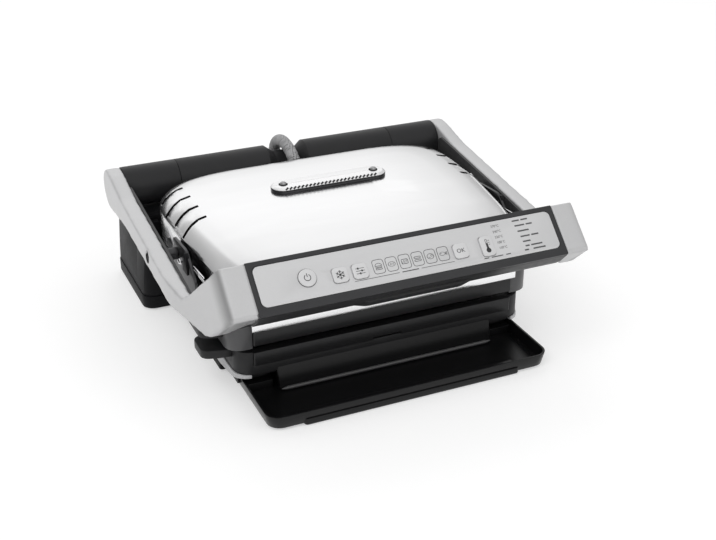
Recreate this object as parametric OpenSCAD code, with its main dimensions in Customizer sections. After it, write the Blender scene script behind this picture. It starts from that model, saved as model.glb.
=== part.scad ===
/* [Overall] */
// Width over the two arms
grill_w = 370; // [356:1:390]
// Distance from the hinge axis forward to the lower edge of the control panel
front_reach = 318; // [312:1:326]
// Distance from the hinge axis back to the rear face of the base
rear_reach = 42; // [36:1:50]
// Height of the hinge axis above the table
hinge_z = 108; // [106:1:112]

/* [Control panel] */
// Height of the panel along its slope
panel_h = 46.8; // [44:0.2:50]
// Height of the panel's lower edge above the table
panel_low_z = 115; // [112:1:118]
// Slope of the panel from level
panel_tilt = 43.3; // [40:0.1:46]
// Width of black bezel that shows beside each end of the pale insert
bezel_side = 4.8; // [3:0.2:8]
// Height of the pale insert
insert_h = 34.8; // [32:0.2:36]
// How far the insert sits above the middle of the panel
insert_up = 1.3; // [0.5:0.1:2]
// Thickness of the insert
insert_t = 1.3; // [1:0.1:2]
// Size of the square keys
key_s = 13; // [10:0.5:14]
// Diameter of the power key
power_d = 15; // [12:0.5:17]
// Height of the temperature key
heat_key_h = 18; // [15:0.5:20]
// Travel of every key
key_travel = 0.8; // [0.4:0.1:1]

/* [Arms and handle] */
// Thickness of an arm
arm_t = 15; // [13:0.5:17]
// Radius of the arm's rear end, also of the hinge barrel
barrel_r = 20; // [18:0.5:21]
// Thickness of the dark liner on the arm's inner face
liner_t = 2.5; // [1.5:0.5:3]
// Thickness of an arm's end cap beside the bezel
cap_t = 16; // [12:1:20]
// Width that each end cap shows on the front
cap_w = 22; // [18:0.5:25]
// How far each arm leans outward from its end cap to the hinge
arm_lean = 22; // [16:1:26]
// Depth of the handle shell behind the panel
handle_depth = 36; // [32:1:37]
// Wall of the handle shell
handle_wall = 3; // [2:0.5:4]

/* [Hinge] */
// Length of each rotating collar between the fixed barrel and an arm
collar_l = 55; // [48:1:65]
// Half width of the cable notch in the barrel
notch_half = 21; // [16:1:26]
// Radius of the barrel inside the notch
notch_r = 13; // [11:0.5:15]
// Radius of the hinge pins
hinge_pin_r = 5; // [4:0.5:6]
// Outer radius of the hinge bushes
bush_r = 8; // [7:0.5:9]

/* [Base] */
// Gap between the tub's side and the inner face of an arm
tub_gap = 30; // [27:1:34]
// Distance from the hinge axis forward to the tub's front
tub_reach = 251; // [246:1:254]
// Height of the tub's rim
tub_top = 44; // [42:1:45]
// Height of the tub's underside, which clears the drip tray
tub_low = 18; // [17:0.5:20]
// Wall thickness of the moulded base parts
wall = 3; // [2:0.5:4]
// Height of the rear housing
rear_top = 86.5; // [80:0.5:87]
// Height of the rubber feet
foot_h = 2; // [1.5:0.5:4]
// Depth of the corner blocks in front of the hinge axis
block_reach = 62.4; // [56:0.2:66]
// Number of vent slots in each rear group
vent_n = 8; // [4:1:10]

/* [Plates] */
// How far each plate's front wall ends short of the tub's side
band_inset = 14.5; // [13:0.5:18]
// Gap between a plate's side and the outside of the tub
plate_inset = 6; // [5:0.5:9]
// Number of ribs on each plate
rib_n = 15; // [9:2:17]
// Width of a rib
rib_w = 6; // [4:0.5:8]
// Height of a rib
rib_h = 3.5; // [3:0.5:4]

/* [Drip tray] */
// How far the tray's rim stays inside the tub's side
tray_inset = 5.5; // [5.5:0.5:9]
// Distance from the hinge axis forward to the tray's front
tray_reach = 312; // [306:1:316]
// Length of the tray from front to rear
tray_len = 106; // [96:1:110]
// Height of the tray's rim above the table
tray_top = 14; // [13:0.5:15]
// Wall of the tray
tray_wall = 2; // [1.5:0.25:3]

/* [Lid] */
// Gap between the cover's side and the liner on an arm
lid_gap = 13.5; // [12:0.5:18]
// Height of the cover's flat crown
crown_z = 131; // [129:0.5:133]
// Thickness of the cover's sheet
cover_t = 1.2; // [0.8:0.1:2]
// Distance from the hinge axis to the cover's front and rear
cover_front = 256; // [250:1:257]
// Distance from the hinge axis to the cover's rear
cover_rear = 40; // [38:1:46]
// Number of louvre slots on each shoulder
louvre_n = 4; // [2:1:6]
// Spacing of the louvre slots
louvre_pitch = 24.5; // [18:0.5:26]
// Number of notches along the rear edge
notch_n = 13; // [7:2:15]
// Length of the name plate
badge_w = 116; // [100:1:118]
// Depth of the name plate
badge_d = 24; // [20:1:26]

/* [Lid float] */
// Distance from the hinge axis forward to the lid's pivots
pivot_reach = 143; // [138:1:148]
// Height of the lid's pivots
pivot_z = 97; // [96:0.5:99]
// Radius of the pivot pins
pivot_r = 2.5; // [2:0.25:3.5]
// How far the pivots rise in the arm's slots
float_travel = 4; // [3:0.5:6]

/* [Hidden] */
$fn = 64;

// Joints and clearances
gap = 0.3;
run_gap = 0.05;
round_n = 6;
eps = 0.01;
board_t = 1.6;

// Frame: the origin is below the middle of the grill, and the hinge axis lies behind it
hinge_y = (front_reach - rear_reach) / 2;
arm_out = grill_w / 2;
arm_in = arm_out - arm_t;
liner_in = arm_in - liner_t;

// Panel corners in the side view, as [distance from the hinge axis, height]
panel_low = [-front_reach, panel_low_z];
panel_high = panel_low + panel_h * [cos(panel_tilt), sin(panel_tilt)];
panel_mid = (panel_low + panel_high) / 2;
panel_back = [sin(panel_tilt), -cos(panel_tilt)];
end_depth = 72;
hollow_depth = 69;
lean_depth = 97;
end_elbow = panel_high + end_depth * panel_back + 4.6 * [cos(panel_tilt), sin(panel_tilt)];
end_heel = panel_low + 49 * panel_back + [5.4, 4];
cap_out = arm_out - arm_lean;
bezel_half = cap_out - cap_w;
insert_half = bezel_half - bezel_side;
bezel_t = 3.2;
pocket_z = -16;

// Base
plinth_z = 10;
ledge_z = 14.5;
base_floor = ledge_z + gap + wall;
tub_half = arm_in - tub_gap;
tub_floor = tub_low + wall;
tub_back = 31;
pan_reach = 200;
cut_z = 31;
barrel_half = arm_in - collar_l;
bush_l = collar_l - 15;
base_half = arm_in + 1.5;
block_in = base_half - 25.5;
block_r = 11;
side_draft = 5.5;
pan_lip = 0.8;
skirt_out = 1;
skirt_in = 4;
skirt_top = tub_low + 4;
front_r = 16;
apron_half = tub_half - 34;
apron_reach = 14;
apron_low = 8.6;
tray_half = tub_half - tray_inset;
tray_rim = 4;
rail_t = 3;
guide_low = tray_top - tray_rim - gap - rail_t;

// Plates
plate_half = tub_half - plate_inset;
band_half = tub_half - band_inset;
plate_front = tub_reach - 4;
plate_rear = 50;
plate_span = plate_front - plate_rear;
plate_low = 33;
plate_t = 4;
ledge_gap = 0.2;
rib_pitch = (2 * plate_half - 28) / (rib_n - 1);
upper_low = 49;
upper_top = 66;
upper_band_low = 51;

// Lid
frame_low = 47.5;
frame_top = 72;
frame_gap = 10;
frame_half = plate_half + frame_gap + wall;
frame_front = tub_reach - 1;
frame_rear = 48;
cover_half = liner_in - lid_gap;
cover_mid = (cover_front + cover_rear) / 2;
side_fall = 5;
front_fall = 13;
rear_fall = 2.5;
side_shoulder = 16;
front_shoulder = 8;
rear_shoulder = 4;
shoulder_at = 0.84;
front_taper = 13;
squareness = 0.28;
flange_low = frame_top - 3;
slot_w = 2.4;
louvre_in = cover_half - 22;
louvre_first = 70;
bracket_x = cover_half + 1;
bracket_t = 2.5;

function unit(v) = v / norm(v);

// Arc that rounds the corner b between a and c
function fillet(a, b, c, r) =
    let (p = [b.x, b.y], u = unit([a.x, a.y] - p), v = unit([c.x, c.y] - p),
         half = acos(max(-1, min(1, u * v))) / 2,
         m = p + unit(u + v) * r / sin(half),
         s = p + u * r / tan(half) - m, e = p + v * r / tan(half) - m,
         a0 = atan2(s.y, s.x), turn = atan2(cross(s, e), s * e))
    [for (i = [0:round_n]) m + r * [cos(a0 + turn * i / round_n), sin(a0 + turn * i / round_n)]];

// Outline from corners given as [x, y, radius]
function rounded(pts) =
    let (n = len(pts))
    [for (i = [0:n - 1])
        each (pts[i].z == 0 ? [[pts[i].x, pts[i].y]]
                            : fillet(pts[(i + n - 1) % n], pts[i], pts[(i + 1) % n], pts[i].z))];

function box_outline(x0, x1, y0, y1, r) = rounded([[x0, y0, r], [x1, y0, r], [x1, y1, r], [x0, y1, r]]);

module hinge_frame() translate([0, hinge_y, 0]) children();
module on_panel() hinge_frame() translate([0, panel_mid.x, panel_mid.y]) rotate([panel_tilt, 0, 0])
    children();
module both_sides() { children(); mirror([1, 0, 0]) children(); }
module along_x(x0, x1, pts) translate([x0, 0, 0]) rotate([90, 0, 90]) linear_extrude(x1 - x0) polygon(pts);
module along_z(z0, z1, pts) translate([0, 0, z0]) linear_extrude(z1 - z0) polygon(pts);
module along_y(y0, y1, pts) translate([0, y1, 0]) rotate([90, 0, 0]) linear_extrude(y1 - y0) polygon(pts);
module rod_x(x0, x1, y, z, r) translate([x0, y, z]) rotate([0, 90, 0]) cylinder(h = x1 - x0, r = r);
module box(x0, x1, y0, y1, z0, z1) translate([x0, y0, z0]) cube([x1 - x0, y1 - y0, z1 - z0]);
module block(x0, x1, y0, y1, z0, z1, r) along_z(z0, z1, box_outline(x0, x1, y0, y1, r));

// ---------------------------------------------------------------- base

function tub_outline(grow) = rounded([
    [-tub_half - grow, -tub_reach - grow, front_r + grow],
    [tub_half + grow, -tub_reach - grow, front_r + grow],
    [tub_half + grow, -tub_back, 0], [-tub_half - grow, -tub_back, 0]]);

module base_tub() color([0.16, 0.16, 0.17]) hinge_frame() difference() {
    union() {
        difference() {
            union() {
                along_z(tub_low, tub_top, tub_outline(-skirt_in));
                along_z(skirt_top, tub_top, tub_outline(0));
            }
            along_z(tub_floor, tub_top, tub_outline(-wall - skirt_in));
            along_z(skirt_top + wall, tub_top + 1, tub_outline(-wall));
        }
        both_sides() for (y = [-plate_front + 12, -plate_rear - 12])
            translate([plate_half - 12, y, tub_low]) cylinder(h = plate_low - ledge_gap - tub_low, r = 6);
    }
    // the plate's front wall stands in this opening
    box(-band_half - gap, band_half + gap, -tub_reach - 1, -tub_reach + 6, cut_z, tub_top + 1);
    // slot for the plate release
    box(-tub_half - 1, -tub_half + wall + release_travel + gap, -release_y - release_l / 2 - gap,
        -release_y + release_l / 2 + gap, release_z - gap, release_z + release_h + gap);
    vent_row(6, -96, 24, tub_low - 1, 8);
}

// Rails below the tub that the tray's rim slides on
module tray_guides() color([0.11, 0.11, 0.12]) hinge_frame() both_sides() {
    side = tray_half + gap;
    box(side, tub_half - skirt_in, -tub_reach + front_r, -pan_reach, guide_low, tub_low);
    box(side - 3, tub_half - skirt_in, -tub_reach + front_r, -pan_reach, guide_low,
        tray_top - tray_rim - gap);
}

// Vent slots through a floor, in a row centred on x = 0
module vent_row(n, y, len, z, h) for (i = [0:n - 1])
    block((i - (n - 1) / 2) * 12 - 2, (i - (n - 1) / 2) * 12 + 2, y, y + len, z, z + h, 1.9);

// Bright lens-shaped trim under the tub's step, tapering to its front corners
module side_skirts() color([0.80, 0.80, 0.81]) hinge_frame() both_sides() intersection() {
    difference() {
        along_z(plinth_z, skirt_top, tub_outline(skirt_out));
        along_z(plinth_z - 1, skirt_top + 1, tub_outline(-skirt_in));
    }
    along_x(tub_half - 12, tub_half + skirt_out, rounded([
        [skirt_rear, plinth_z + gap, 0], [-pan_reach, plinth_z + gap, 60],
        [-tub_reach - skirt_out, skirt_top - 3, 2], [-tub_reach - skirt_out, skirt_top, 0],
        [skirt_rear, skirt_top, 0]]));
}

skirt_rear = -block_reach - pan_lip - gap;
rear_face = rear_reach;

module rear_profile(x0, x1, y0, grow) along_x(x0, x1, rounded([
    [y0, base_floor - grow, 0], [rear_face - wall + grow, base_floor - grow, 0],
    [rear_face - wall + grow, rear_top - 16, 14], [rear_face - 14, rear_top - wall + grow, 8],
    [y0, rear_top - wall + grow, 0]]));

// Plan of the rear base: the front corners are round, the rear ones tighter
module base_plan(grow, y1, z0, z1) along_z(z0, z1, rounded([
    [-base_half - grow, -block_reach - grow, block_r + grow],
    [base_half + grow, -block_reach - grow, block_r + grow],
    [base_half + grow, y1, 6], [-base_half - grow, y1, 6]]));

// Sides that draw in towards the top
module drafted(half) along_y(-block_reach - 1, rear_face + 1, [
    [-half, ledge_z], [half, ledge_z], [half - side_draft, rear_top], [-half + side_draft, rear_top]]);

module rear_housing() color([0.13, 0.13, 0.14]) hinge_frame() difference() {
    intersection() {
        rear_profile(-base_half - 1, base_half + 1, -tub_back, wall);
        base_plan(0, rear_face, ledge_z, rear_top);
        drafted(base_half);
    }
    intersection() {
        rear_profile(-base_half, base_half, -tub_back + wall, 0);
        drafted(base_half - wall);
    }
    both_sides() for (i = [0:vent_n - 1])
        box(60 + i * 9, 63 + i * 9, rear_face - wall - 8, rear_face + 1, vent_low, vent_low + 28);
    translate([gland_x, rear_face - wall - 1, gland_z]) rotate([-90, 0, 0])
        cylinder(h = wall + 2, r = gland_r);
    translate([0, sleeve_y, rear_top - wall - 1]) cylinder(h = wall + 2, r = sleeve_r + 3);
    both_sides() for (x = [barrel_half - 20, 40]) translate([x, 0, rear_top - wall - 1])
        cylinder(h = wall + 2, r = 2.5);
}

vent_low = 36;

// Blocks that carry the housing forward beside the tub, cut away inside for the lid's rear corners
module housing_cheeks() color([0.13, 0.13, 0.14]) hinge_frame() both_sides() difference() {
    intersection() {
        along_x(block_in, base_half + 1, rounded([
            [-block_reach, ledge_z + gap, 0], [-tub_back, ledge_z + gap, 0],
            [-tub_back, rear_top - 4, 0], [-block_reach, rear_top - 4, 10]]));
        base_plan(0, rear_face, ledge_z, rear_top);
        drafted(base_half);
    }
    box(block_in - 1, cover_half + lid_clear, -block_reach - 1, -cover_rear + lid_clear, tub_top, rear_top);
}

lid_clear = 1.5;

// Fixed barrel: two full lobes joined by a slimmer waist under the cable, on a solid web
module hinge_barrel() color([0.13, 0.13, 0.14]) hinge_frame() difference() {
    union() {
        both_sides() {
            rod_x(notch_half, barrel_half, 0, hinge_z, barrel_r);
            translate([notch_half - 9, 0, hinge_z]) rotate([0, 90, 0])
                cylinder(h = 9, r1 = notch_r, r2 = barrel_r);
        }
        rod_x(-notch_half + 9, notch_half - 9, 0, hinge_z, notch_r);
        box(-barrel_half, barrel_half, -barrel_r + 6, barrel_r - 6, rear_top, hinge_z - barrel_r + 6);
    }
    both_sides() rod_x(barrel_half - 24, barrel_half + 1, 0, hinge_z, hinge_pin_r + run_gap);
}

module hinge_pins() color([0.70, 0.70, 0.72]) hinge_frame() both_sides()
    rod_x(barrel_half - 24, barrel_half + bush_l - 2, 0, hinge_z, hinge_pin_r);

module base_pan() color([0.11, 0.11, 0.12]) hinge_frame() difference() {
    union() {
        base_plan(pan_lip, rear_face, foot_h, ledge_z);
        block(-tub_half - skirt_out + 0.5, tub_half + skirt_out - 0.5, -pan_reach, -block_reach + 10, foot_h,
              plinth_z, 3);
        block(-tub_half + skirt_in + gap, tub_half - skirt_in - gap, -pan_reach, -tub_back, plinth_z - 1,
              tub_low, 3);
    }
    block(-base_half + wall, base_half - wall, -tub_back - 8, rear_face - wall, foot_h + wall,
          ledge_z + 1, 2);
    difference() {
        block(-tub_half + skirt_in + gap + wall, tub_half - skirt_in - gap - wall, -pan_reach + wall,
              -tub_back - wall, foot_h + wall, tub_low + 1, 2);
        base_screw_at() cylinder(h = tub_low + 2, r = 5);
    }
    base_screw_at() {
        translate([0, 0, foot_h - 1]) cylinder(h = screw_z + 1.6 - foot_h + 1, r = 3.7);
        translate([0, 0, foot_h]) cylinder(h = plinth_z - foot_h, r = 1.8);
    }
    vent_row(9, -pan_vent_y - pan_vent_l / 2, pan_vent_l, foot_h - 1, wall + 2);
}

pan_vent_y = (pan_reach + block_reach) / 2;
pan_vent_l = 40;

module rubber_feet() color([0.06, 0.06, 0.06]) hinge_frame() both_sides()
    for (y = [-pan_reach + 18, rear_face - 18])
        translate([tub_half - 14, y, 0]) cylinder(h = foot_h, r1 = 8, r2 = 9);

// Chute below the plate's front wall, with a rolled lip over the tray
module drain_apron() color([0.10, 0.10, 0.11]) hinge_frame() along_x(-apron_half, apron_half, rounded([
    [-tub_reach, tub_low, 0], [-tub_reach, cut_z - 0.2, 0], [-tub_reach - 2, cut_z - 0.2, 0],
    [-tub_reach - 4.5, cut_z - 9, 20], [-tub_reach - apron_reach, apron_low + 4.5, 2.2],
    [-tub_reach - apron_reach + 1, apron_low, 1.3], [-tub_reach - 8, tub_low - 3, 12]]));

module plate_ribs(z0, z1) for (i = [0:rib_n - 1]) let (x = (i - (rib_n - 1) / 2) * rib_pitch)
    block(x - rib_w / 2, x + rib_w / 2, -plate_front + 12, -plate_rear - 12, z0, z1, rib_w / 2 - 0.1);

module lower_plate() color([0.20, 0.20, 0.21]) hinge_frame() difference() {
    union() {
        difference() {
            block(-plate_half, plate_half, -plate_front, -plate_rear, plate_low, tub_top, 14);
            block(-plate_half + 4, plate_half - 4, -plate_front + 4, -plate_rear - 4, plate_low + plate_t,
                  tub_top + 1, 10);
        }
        block(-band_half, band_half, -tub_reach - 1.5, -plate_front + 1, cut_z, tub_top, 1.2);
        plate_ribs(plate_low + plate_t - eps, plate_low + plate_t + rib_h);
    }
    // drain slot at the foot of the front wall
    box(-14, 14, -tub_reach - 3, -plate_front + 8, cut_z - 1, cut_z + 2.5);
    box(-14, 14, -plate_front + 4.5, -plate_front + 8, cut_z, plate_low + plate_t + 1);
}

// Heating tube bent into a flat U with its two ends to the rear
module heater(z, r, y_rear) {
    bend = 40;
    y_front = -plate_front + 34;
    both_sides() {
        translate([plate_half - 34 - bend, y_front + bend, z]) rotate([0, 0, -90]) rotate_extrude(angle = 90)
            translate([bend, 0]) circle(r = r);
        translate([plate_half - 34, y_front + bend, z]) rotate([-90, 0, 0])
            cylinder(h = y_rear - y_front - bend, r = r);
    }
    rod_x(-plate_half + 34 + bend, plate_half - 34 - bend, y_front, z, r);
}

module lower_heater() color([0.35, 0.35, 0.36]) hinge_frame() 
    heater(plate_low - gap - heater_r, heater_r, -plate_rear - 6);

heater_r = 3.2;

dish_half = plate_half - 20;

module reflector(z0, lip) difference() {
    block(-dish_half, dish_half, -plate_front + 20, -plate_rear - 6, z0, z0 + lip, 12);
    block(-dish_half + 1, dish_half - 1, -plate_front + 21, -plate_rear - 7, z0 + 1, z0 + lip + 1, 11);
}

module lower_reflector() color([0.62, 0.62, 0.63]) hinge_frame() {
    reflector(tub_floor, 4);
    both_sides() for (y = [-plate_front + plate_span * 0.45, -plate_rear - plate_span * 0.2])
        box(plate_half - 38, plate_half - 30, y, y + 10, tub_floor + 1, plate_low - gap - 2 * heater_r);
}

module plate_probe() color([0.55, 0.52, 0.45]) hinge_frame()
    translate([0, -(plate_front + plate_rear) / 2, tub_floor + 1]) {
        cylinder(h = 8, r = 7);
        cylinder(h = plate_low - 0.2 - tub_floor - 1, r = 4.5);
    }

board_l = 140;
board_d = 44;
board_mid = 2;
board_lift = 5;
board_top = base_floor + board_lift + board_t;
peg_r = 2.5;
coil = [22, 26, 19.4];
relay = [30, 26, 13.4];

module on_board(x, size) box(x, x + size.x, board_mid - size.y / 2, board_mid + size.y / 2,
                             board_top, board_top + size.z);

module power_board() color([0.12, 0.34, 0.18]) hinge_frame() {
    box(-board_l / 2, board_l / 2, board_mid - board_d / 2, board_mid + board_d / 2, base_floor + board_lift,
        board_top);
    both_sides() for (y = [board_mid - board_d / 2 + 4, board_mid + board_d / 2 - 4])
        translate([board_l / 2 - 6, y, base_floor]) cylinder(h = board_lift, r = peg_r);
    on_board(-board_l * 0.36, coil);
    on_board(board_l * 0.07, relay);
}

gland_x = -base_half + 51.5;
gland_z = base_floor + 9.2;
gland_r = 6;

module cord_gland() color([0.07, 0.07, 0.07]) hinge_frame() translate([gland_x, rear_face - wall, gland_z])
    rotate([-90, 0, 0]) difference() {
        union() {
            cylinder(h = wall, r = gland_r - 0.1);
            translate([0, 0, -2]) cylinder(h = 2, r = gland_r + 2);
        }
        translate([0, 0, -3]) cylinder(h = wall + 6, r = 3.6);
    }

// Woven cable sleeve from the rear housing, over the barrel's notch, into the lid
sleeve_r = 6.2;
sleeve_y = 31;
sleeve_pts = [[0, 31, 88.3], [0, 31.5, 96], [0, 31, 104], [0, 29, 112], [0, 25, 119], [0, 18.5, 124.5],
    [0, 10.5, 128], [0, 2, 129.5], [0, -7, 129], [0, -16, 127], [0, -24.5, 123], [0, -32, 117.5],
    [0, -38, 112]];
sleeve_end = sleeve_pts[len(sleeve_pts) - 1];
sleeve_dip = 42;
ring_n = 12;

module sleeve_axis() translate(sleeve_end) rotate([-90 + sleeve_dip, 0, 0]) children();

module sleeve_gland() color([0.07, 0.07, 0.07]) hinge_frame() translate([0, sleeve_y, rear_top - wall])
difference() {
    union() {
        cylinder(h = wall, r = sleeve_r + 2.9);
        translate([0, 0, wall]) cylinder(h = 1.5, r = sleeve_r + 4);
    }
    translate([0, 0, -1]) cylinder(h = wall + 4, r = sleeve_r + gap);
}

screw_z = foot_h + 0.3;

screw_in = 16;
screw_front = 36;
screw_rear = 20;

module base_screw_at() both_sides() for (y = [-pan_reach + screw_front, -tub_back - screw_rear])
    translate([tub_half - screw_in, y, 0]) children();

module base_screws() color([0.55, 0.55, 0.56]) hinge_frame() base_screw_at() translate([0, 0, screw_z])
difference() {
    union() {
        cylinder(h = 1.5, r = 3.5);
        cylinder(h = 6, r = 1.6);
    }
    translate([0, 0, -0.5]) cylinder(h = 1.2, r = 1.4);
}

release_y = 216.5;
release_l = 37;
release_h = 8;
release_z = 35;
release_out = 25;
release_travel = 2.5;

// Push tab with a rounded outer end
module release_tab(x_wall, z0, out) translate([-x_wall, -release_y, z0]) along_z(0, release_h, rounded([
    [wall, -release_l / 2, 0], [-6, -release_l / 2, 0], [-out, -release_l / 2 + 5, 8],
    [-out, release_l / 2 - 5, 8], [-6, release_l / 2, 0], [wall, release_l / 2, 0]]));

module lower_release() color([0.09, 0.09, 0.10]) hinge_frame() release_tab(tub_half, release_z, release_out);

// ---------------------------------------------------------------- drip tray

tray_low = 0.8;

module drip_tray() color([0.09, 0.09, 0.10]) hinge_frame() {
    y0 = -tray_reach;
    y1 = y0 + tray_len;
    deck_y = -tub_reach - 2;
    side = tray_half - tray_rim;
    difference() {
        union() {
            block(-side, side, y0 + tray_rim, y1, tray_low, tray_top, 5);
            block(-tray_half, tray_half, y0, y1, tray_top - tray_rim, tray_top, 6);
            along_z(tray_low, tray_top - tray_rim + 1, rounded([[-apron_half + 3, y0 + 8, 0],
                [-apron_half + 7, y0 + 0.6, 3], [apron_half - 7, y0 + 0.6, 3],
                [apron_half - 3, y0 + 8, 0]]));
        }
        block(-side + tray_wall, side - tray_wall, y0 + tray_rim + tray_wall, deck_y, tray_low + tray_wall,
              tray_top + 1, 4);
        block(-apron_half - 1, apron_half + 1, y0 + 20, y1 - tray_wall, tray_low + tray_wall,
              tray_top + 1, 3);
        box(-apron_half - 1, apron_half + 1, y1 - 8, y1 + 1, apron_low - 0.6, tray_top + 1);
    }
}

// ---------------------------------------------------------------- yoke

low_front = [-209, hinge_z - 26];
low_rear = [-60, hinge_z - 15];
top_rear = [-52, hinge_z + 9.5];

module arm_side() {
    along_x(bezel_half, arm_out + 1, rounded([
        [0, hinge_z - barrel_r, 0], [0, hinge_z + barrel_r, 0], [-14, hinge_z + barrel_r - 1.5, 30],
        [top_rear.x, top_rear.y, 60], [end_elbow.x, end_elbow.y, 12], [panel_high.x, panel_high.y, 3],
        [panel_low.x, panel_low.y, 5], [end_heel.x, end_heel.y, 22], [low_front.x, low_front.y, 80],
        [low_rear.x, low_rear.y, 60]]));
    rod_x(arm_in, arm_out + 1, 0, hinge_z, barrel_r);
}

neck_at = 56;
neck_l = 30;

module arm_plan() along_z(0, 200, rounded([
    [arm_in, barrel_r + 1, 0], [arm_out + 2, barrel_r + 1, 0], [arm_out + 2, -front_reach - 2, 0],
    [bezel_half, -front_reach - 2, 0], [bezel_half, -front_reach + neck_at, 0],
    [arm_in - 10, -front_reach + neck_at + neck_l / 3, 20], [arm_in, -front_reach + neck_at + neck_l, 10]]));

// Outer faces: ruled along the panel's slope, leaning in to the end caps
module arm_lean_shape() on_panel() along_y(-80, 320, rounded([
    [bezel_half - 1, 1, 0], [cap_out, 1, 8], [cap_out + arm_lean * 0.38, -lean_depth * 0.43, 150],
    [arm_out, -lean_depth, 60], [arm_out, -400, 0], [bezel_half - 1, -400, 0]]));

module arm() difference() {
    intersection() {
        hinge_frame() arm_side();
        hinge_frame() arm_plan();
        arm_lean_shape();
    }
    // hollow behind the bezel end, which thins the cap towards the handle shell
    on_panel() along_y(-60, 60, [[bezel_half - 1, -cap_t], [arm_in - 2, -hollow_depth],
        [bezel_half - 1, -hollow_depth]]);
    hinge_frame() pivot_slot(arm_in - 1, arm_out + 2);
}

// Oval slot that the float pins ride in
module pivot_slot(x0, x1) {
    rod_x(x0, x1, -pivot_reach, pivot_z, pivot_r + gap);
    rod_x(x0, x1, -pivot_reach, pivot_z + float_travel, pivot_r + gap);
    box(x0, x1, -pivot_reach - pivot_r - gap, -pivot_reach + pivot_r + gap, pivot_z, pivot_z + float_travel);
}

module right_arm() color([0.78, 0.78, 0.79]) arm();
module left_arm() color([0.78, 0.78, 0.79]) mirror([1, 0, 0]) arm();

slot_top = pivot_z + float_travel + pivot_r + gap;

module arm_liners() color([0.19, 0.19, 0.20]) hinge_frame() both_sides() difference() {
    along_x(liner_in, arm_in, rounded([[-barrel_r - 3, hinge_z - 11, 3], [-barrel_r - 3, hinge_z + 11, 6],
        [top_rear.x, top_rear.y - 1.2, 40], [-pivot_reach - pivot_r - gap - 6, slot_top + 1.6, 20],
        [end_elbow.x + 4, end_elbow.y - 2.5, 3],
        [end_elbow.x + 4, low_front.y + 4, 3], [low_rear.x, low_rear.y + 1, 20]]));
    pivot_slot(liner_in - 1, arm_in + 1);
}

module hinge_collars() color([0.13, 0.13, 0.14]) hinge_frame() both_sides() difference() {
    rod_x(barrel_half + gap, arm_in, 0, hinge_z, barrel_r);
    rod_x(barrel_half, barrel_half + bush_l, 0, hinge_z, bush_r + run_gap);
}

module hinge_bushes() color([0.72, 0.60, 0.35]) hinge_frame() both_sides() difference() {
    rod_x(barrel_half + 1, barrel_half + bush_l - 0.1, 0, hinge_z, bush_r);
    rod_x(barrel_half, barrel_half + bush_l, 0, hinge_z, hinge_pin_r + run_gap);
}

function handle_section() = let (h = panel_h / 2) rounded([
    [h, -bezel_t, 0], [h, -14, 6], [12, -handle_depth + 6, 12], [-6, -handle_depth, 14],
    [-h + 2, -handle_depth + 8, 8], [-h, -16, 8], [-h, -bezel_t, 0]]);

module handle_shell() color([0.10, 0.10, 0.11]) on_panel() difference() {
    union() {
        along_x(-bezel_half, bezel_half, handle_section());
        // finger swell under the middle of the grip
        along_z(-handle_depth + 12, -12, rounded([[-60, -panel_h / 2 + 3, 0], [-44, -panel_h / 2 - 1.6, 20],
            [44, -panel_h / 2 - 1.6, 20], [60, -panel_h / 2 + 3, 0]]));
    }
    block(-insert_half + 4, insert_half - 4, -insert_h / 2 + 2, insert_h / 2 - 1, pocket_z, 0, 3);
}

module panel_bezel() color([0.14, 0.14, 0.15]) on_panel() difference() {
    block(-bezel_half, bezel_half, -panel_h / 2, panel_h / 2, -bezel_t, 0, 1);
    insert_shape(gap, -insert_t - 0.2, 1);
    insert_shape(-3, -bezel_t - 1, 1);
}

module insert_shape(grow, z0, z1)
    block(-insert_half - grow, insert_half + grow, insert_up - insert_h / 2 - grow,
          insert_up + insert_h / 2 + grow, z0, z1, 5);

// Keys as [x, y, width, height] on the panel
key_y = -1.8;
frozen_at = [-insert_half + 69.7, key_y, key_s, key_s];
manual_at = [-insert_half + 87.2, key_y, key_s, key_s];
ok_at = [insert_half - 93.2, key_y, key_s, key_s];
heat_at = [insert_half - 68, key_y - 0.4, key_s - 1, heat_key_h];
power_at = [-insert_half + 42.2, 1.3];

module key_shape(at, grow, z0, z1) block(at[0] - at[2] / 2 - grow, at[0] + at[2] / 2 + grow,
    at[1] - at[3] / 2 - grow, at[1] + at[3] / 2 + grow, z0, z1, 3);

module power_shape(grow, z0, z1) translate([power_at.x, power_at.y, z0])
    cylinder(h = z1 - z0, r = power_d / 2 + grow);

module panel_insert() color([0.82, 0.82, 0.83]) on_panel() difference() {
    insert_shape(0, -insert_t - 0.2, -0.2);
    power_shape(gap, -4, 2);
    for (at = [frozen_at, manual_at, ok_at, heat_at]) key_shape(at, gap, -4, 2);
}

key_top = 0.9;
flange_z = -insert_t - 0.5;
flange_t = 0.9;
stem_low = -7.9;
board_z = -12.4;

module square_key(at) color([0.84, 0.84, 0.85]) on_panel() {
    key_shape(at, 0, flange_z, key_top);
    key_shape(at, 1, flange_z - flange_t, flange_z);
    translate([at[0], at[1], stem_low]) cylinder(h = flange_z - flange_t - stem_low, r = 2);
}

module key_power() color([0.84, 0.84, 0.85]) on_panel() {
    power_shape(0, flange_z, key_top);
    power_shape(1, flange_z - flange_t, flange_z);
    translate([power_at.x, power_at.y, stem_low]) cylinder(h = flange_z - flange_t - stem_low, r = 2);
}
module key_frozen() square_key(frozen_at);
module key_manual() square_key(manual_at);
module key_ok() square_key(ok_at);
module key_heat() square_key(heat_at);

module control_board() color([0.12, 0.34, 0.18]) on_panel() {
    half = insert_half - 16.2;
    side = insert_h / 2 - 5.4;
    block(-half, half, -side, side, board_z, board_z + board_t, 2);
    both_sides() for (y = [-side + 4, side - 4]) translate([half - 8, y, pocket_z])
        cylinder(h = board_z - pocket_z, r = 2.5);
}

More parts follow.
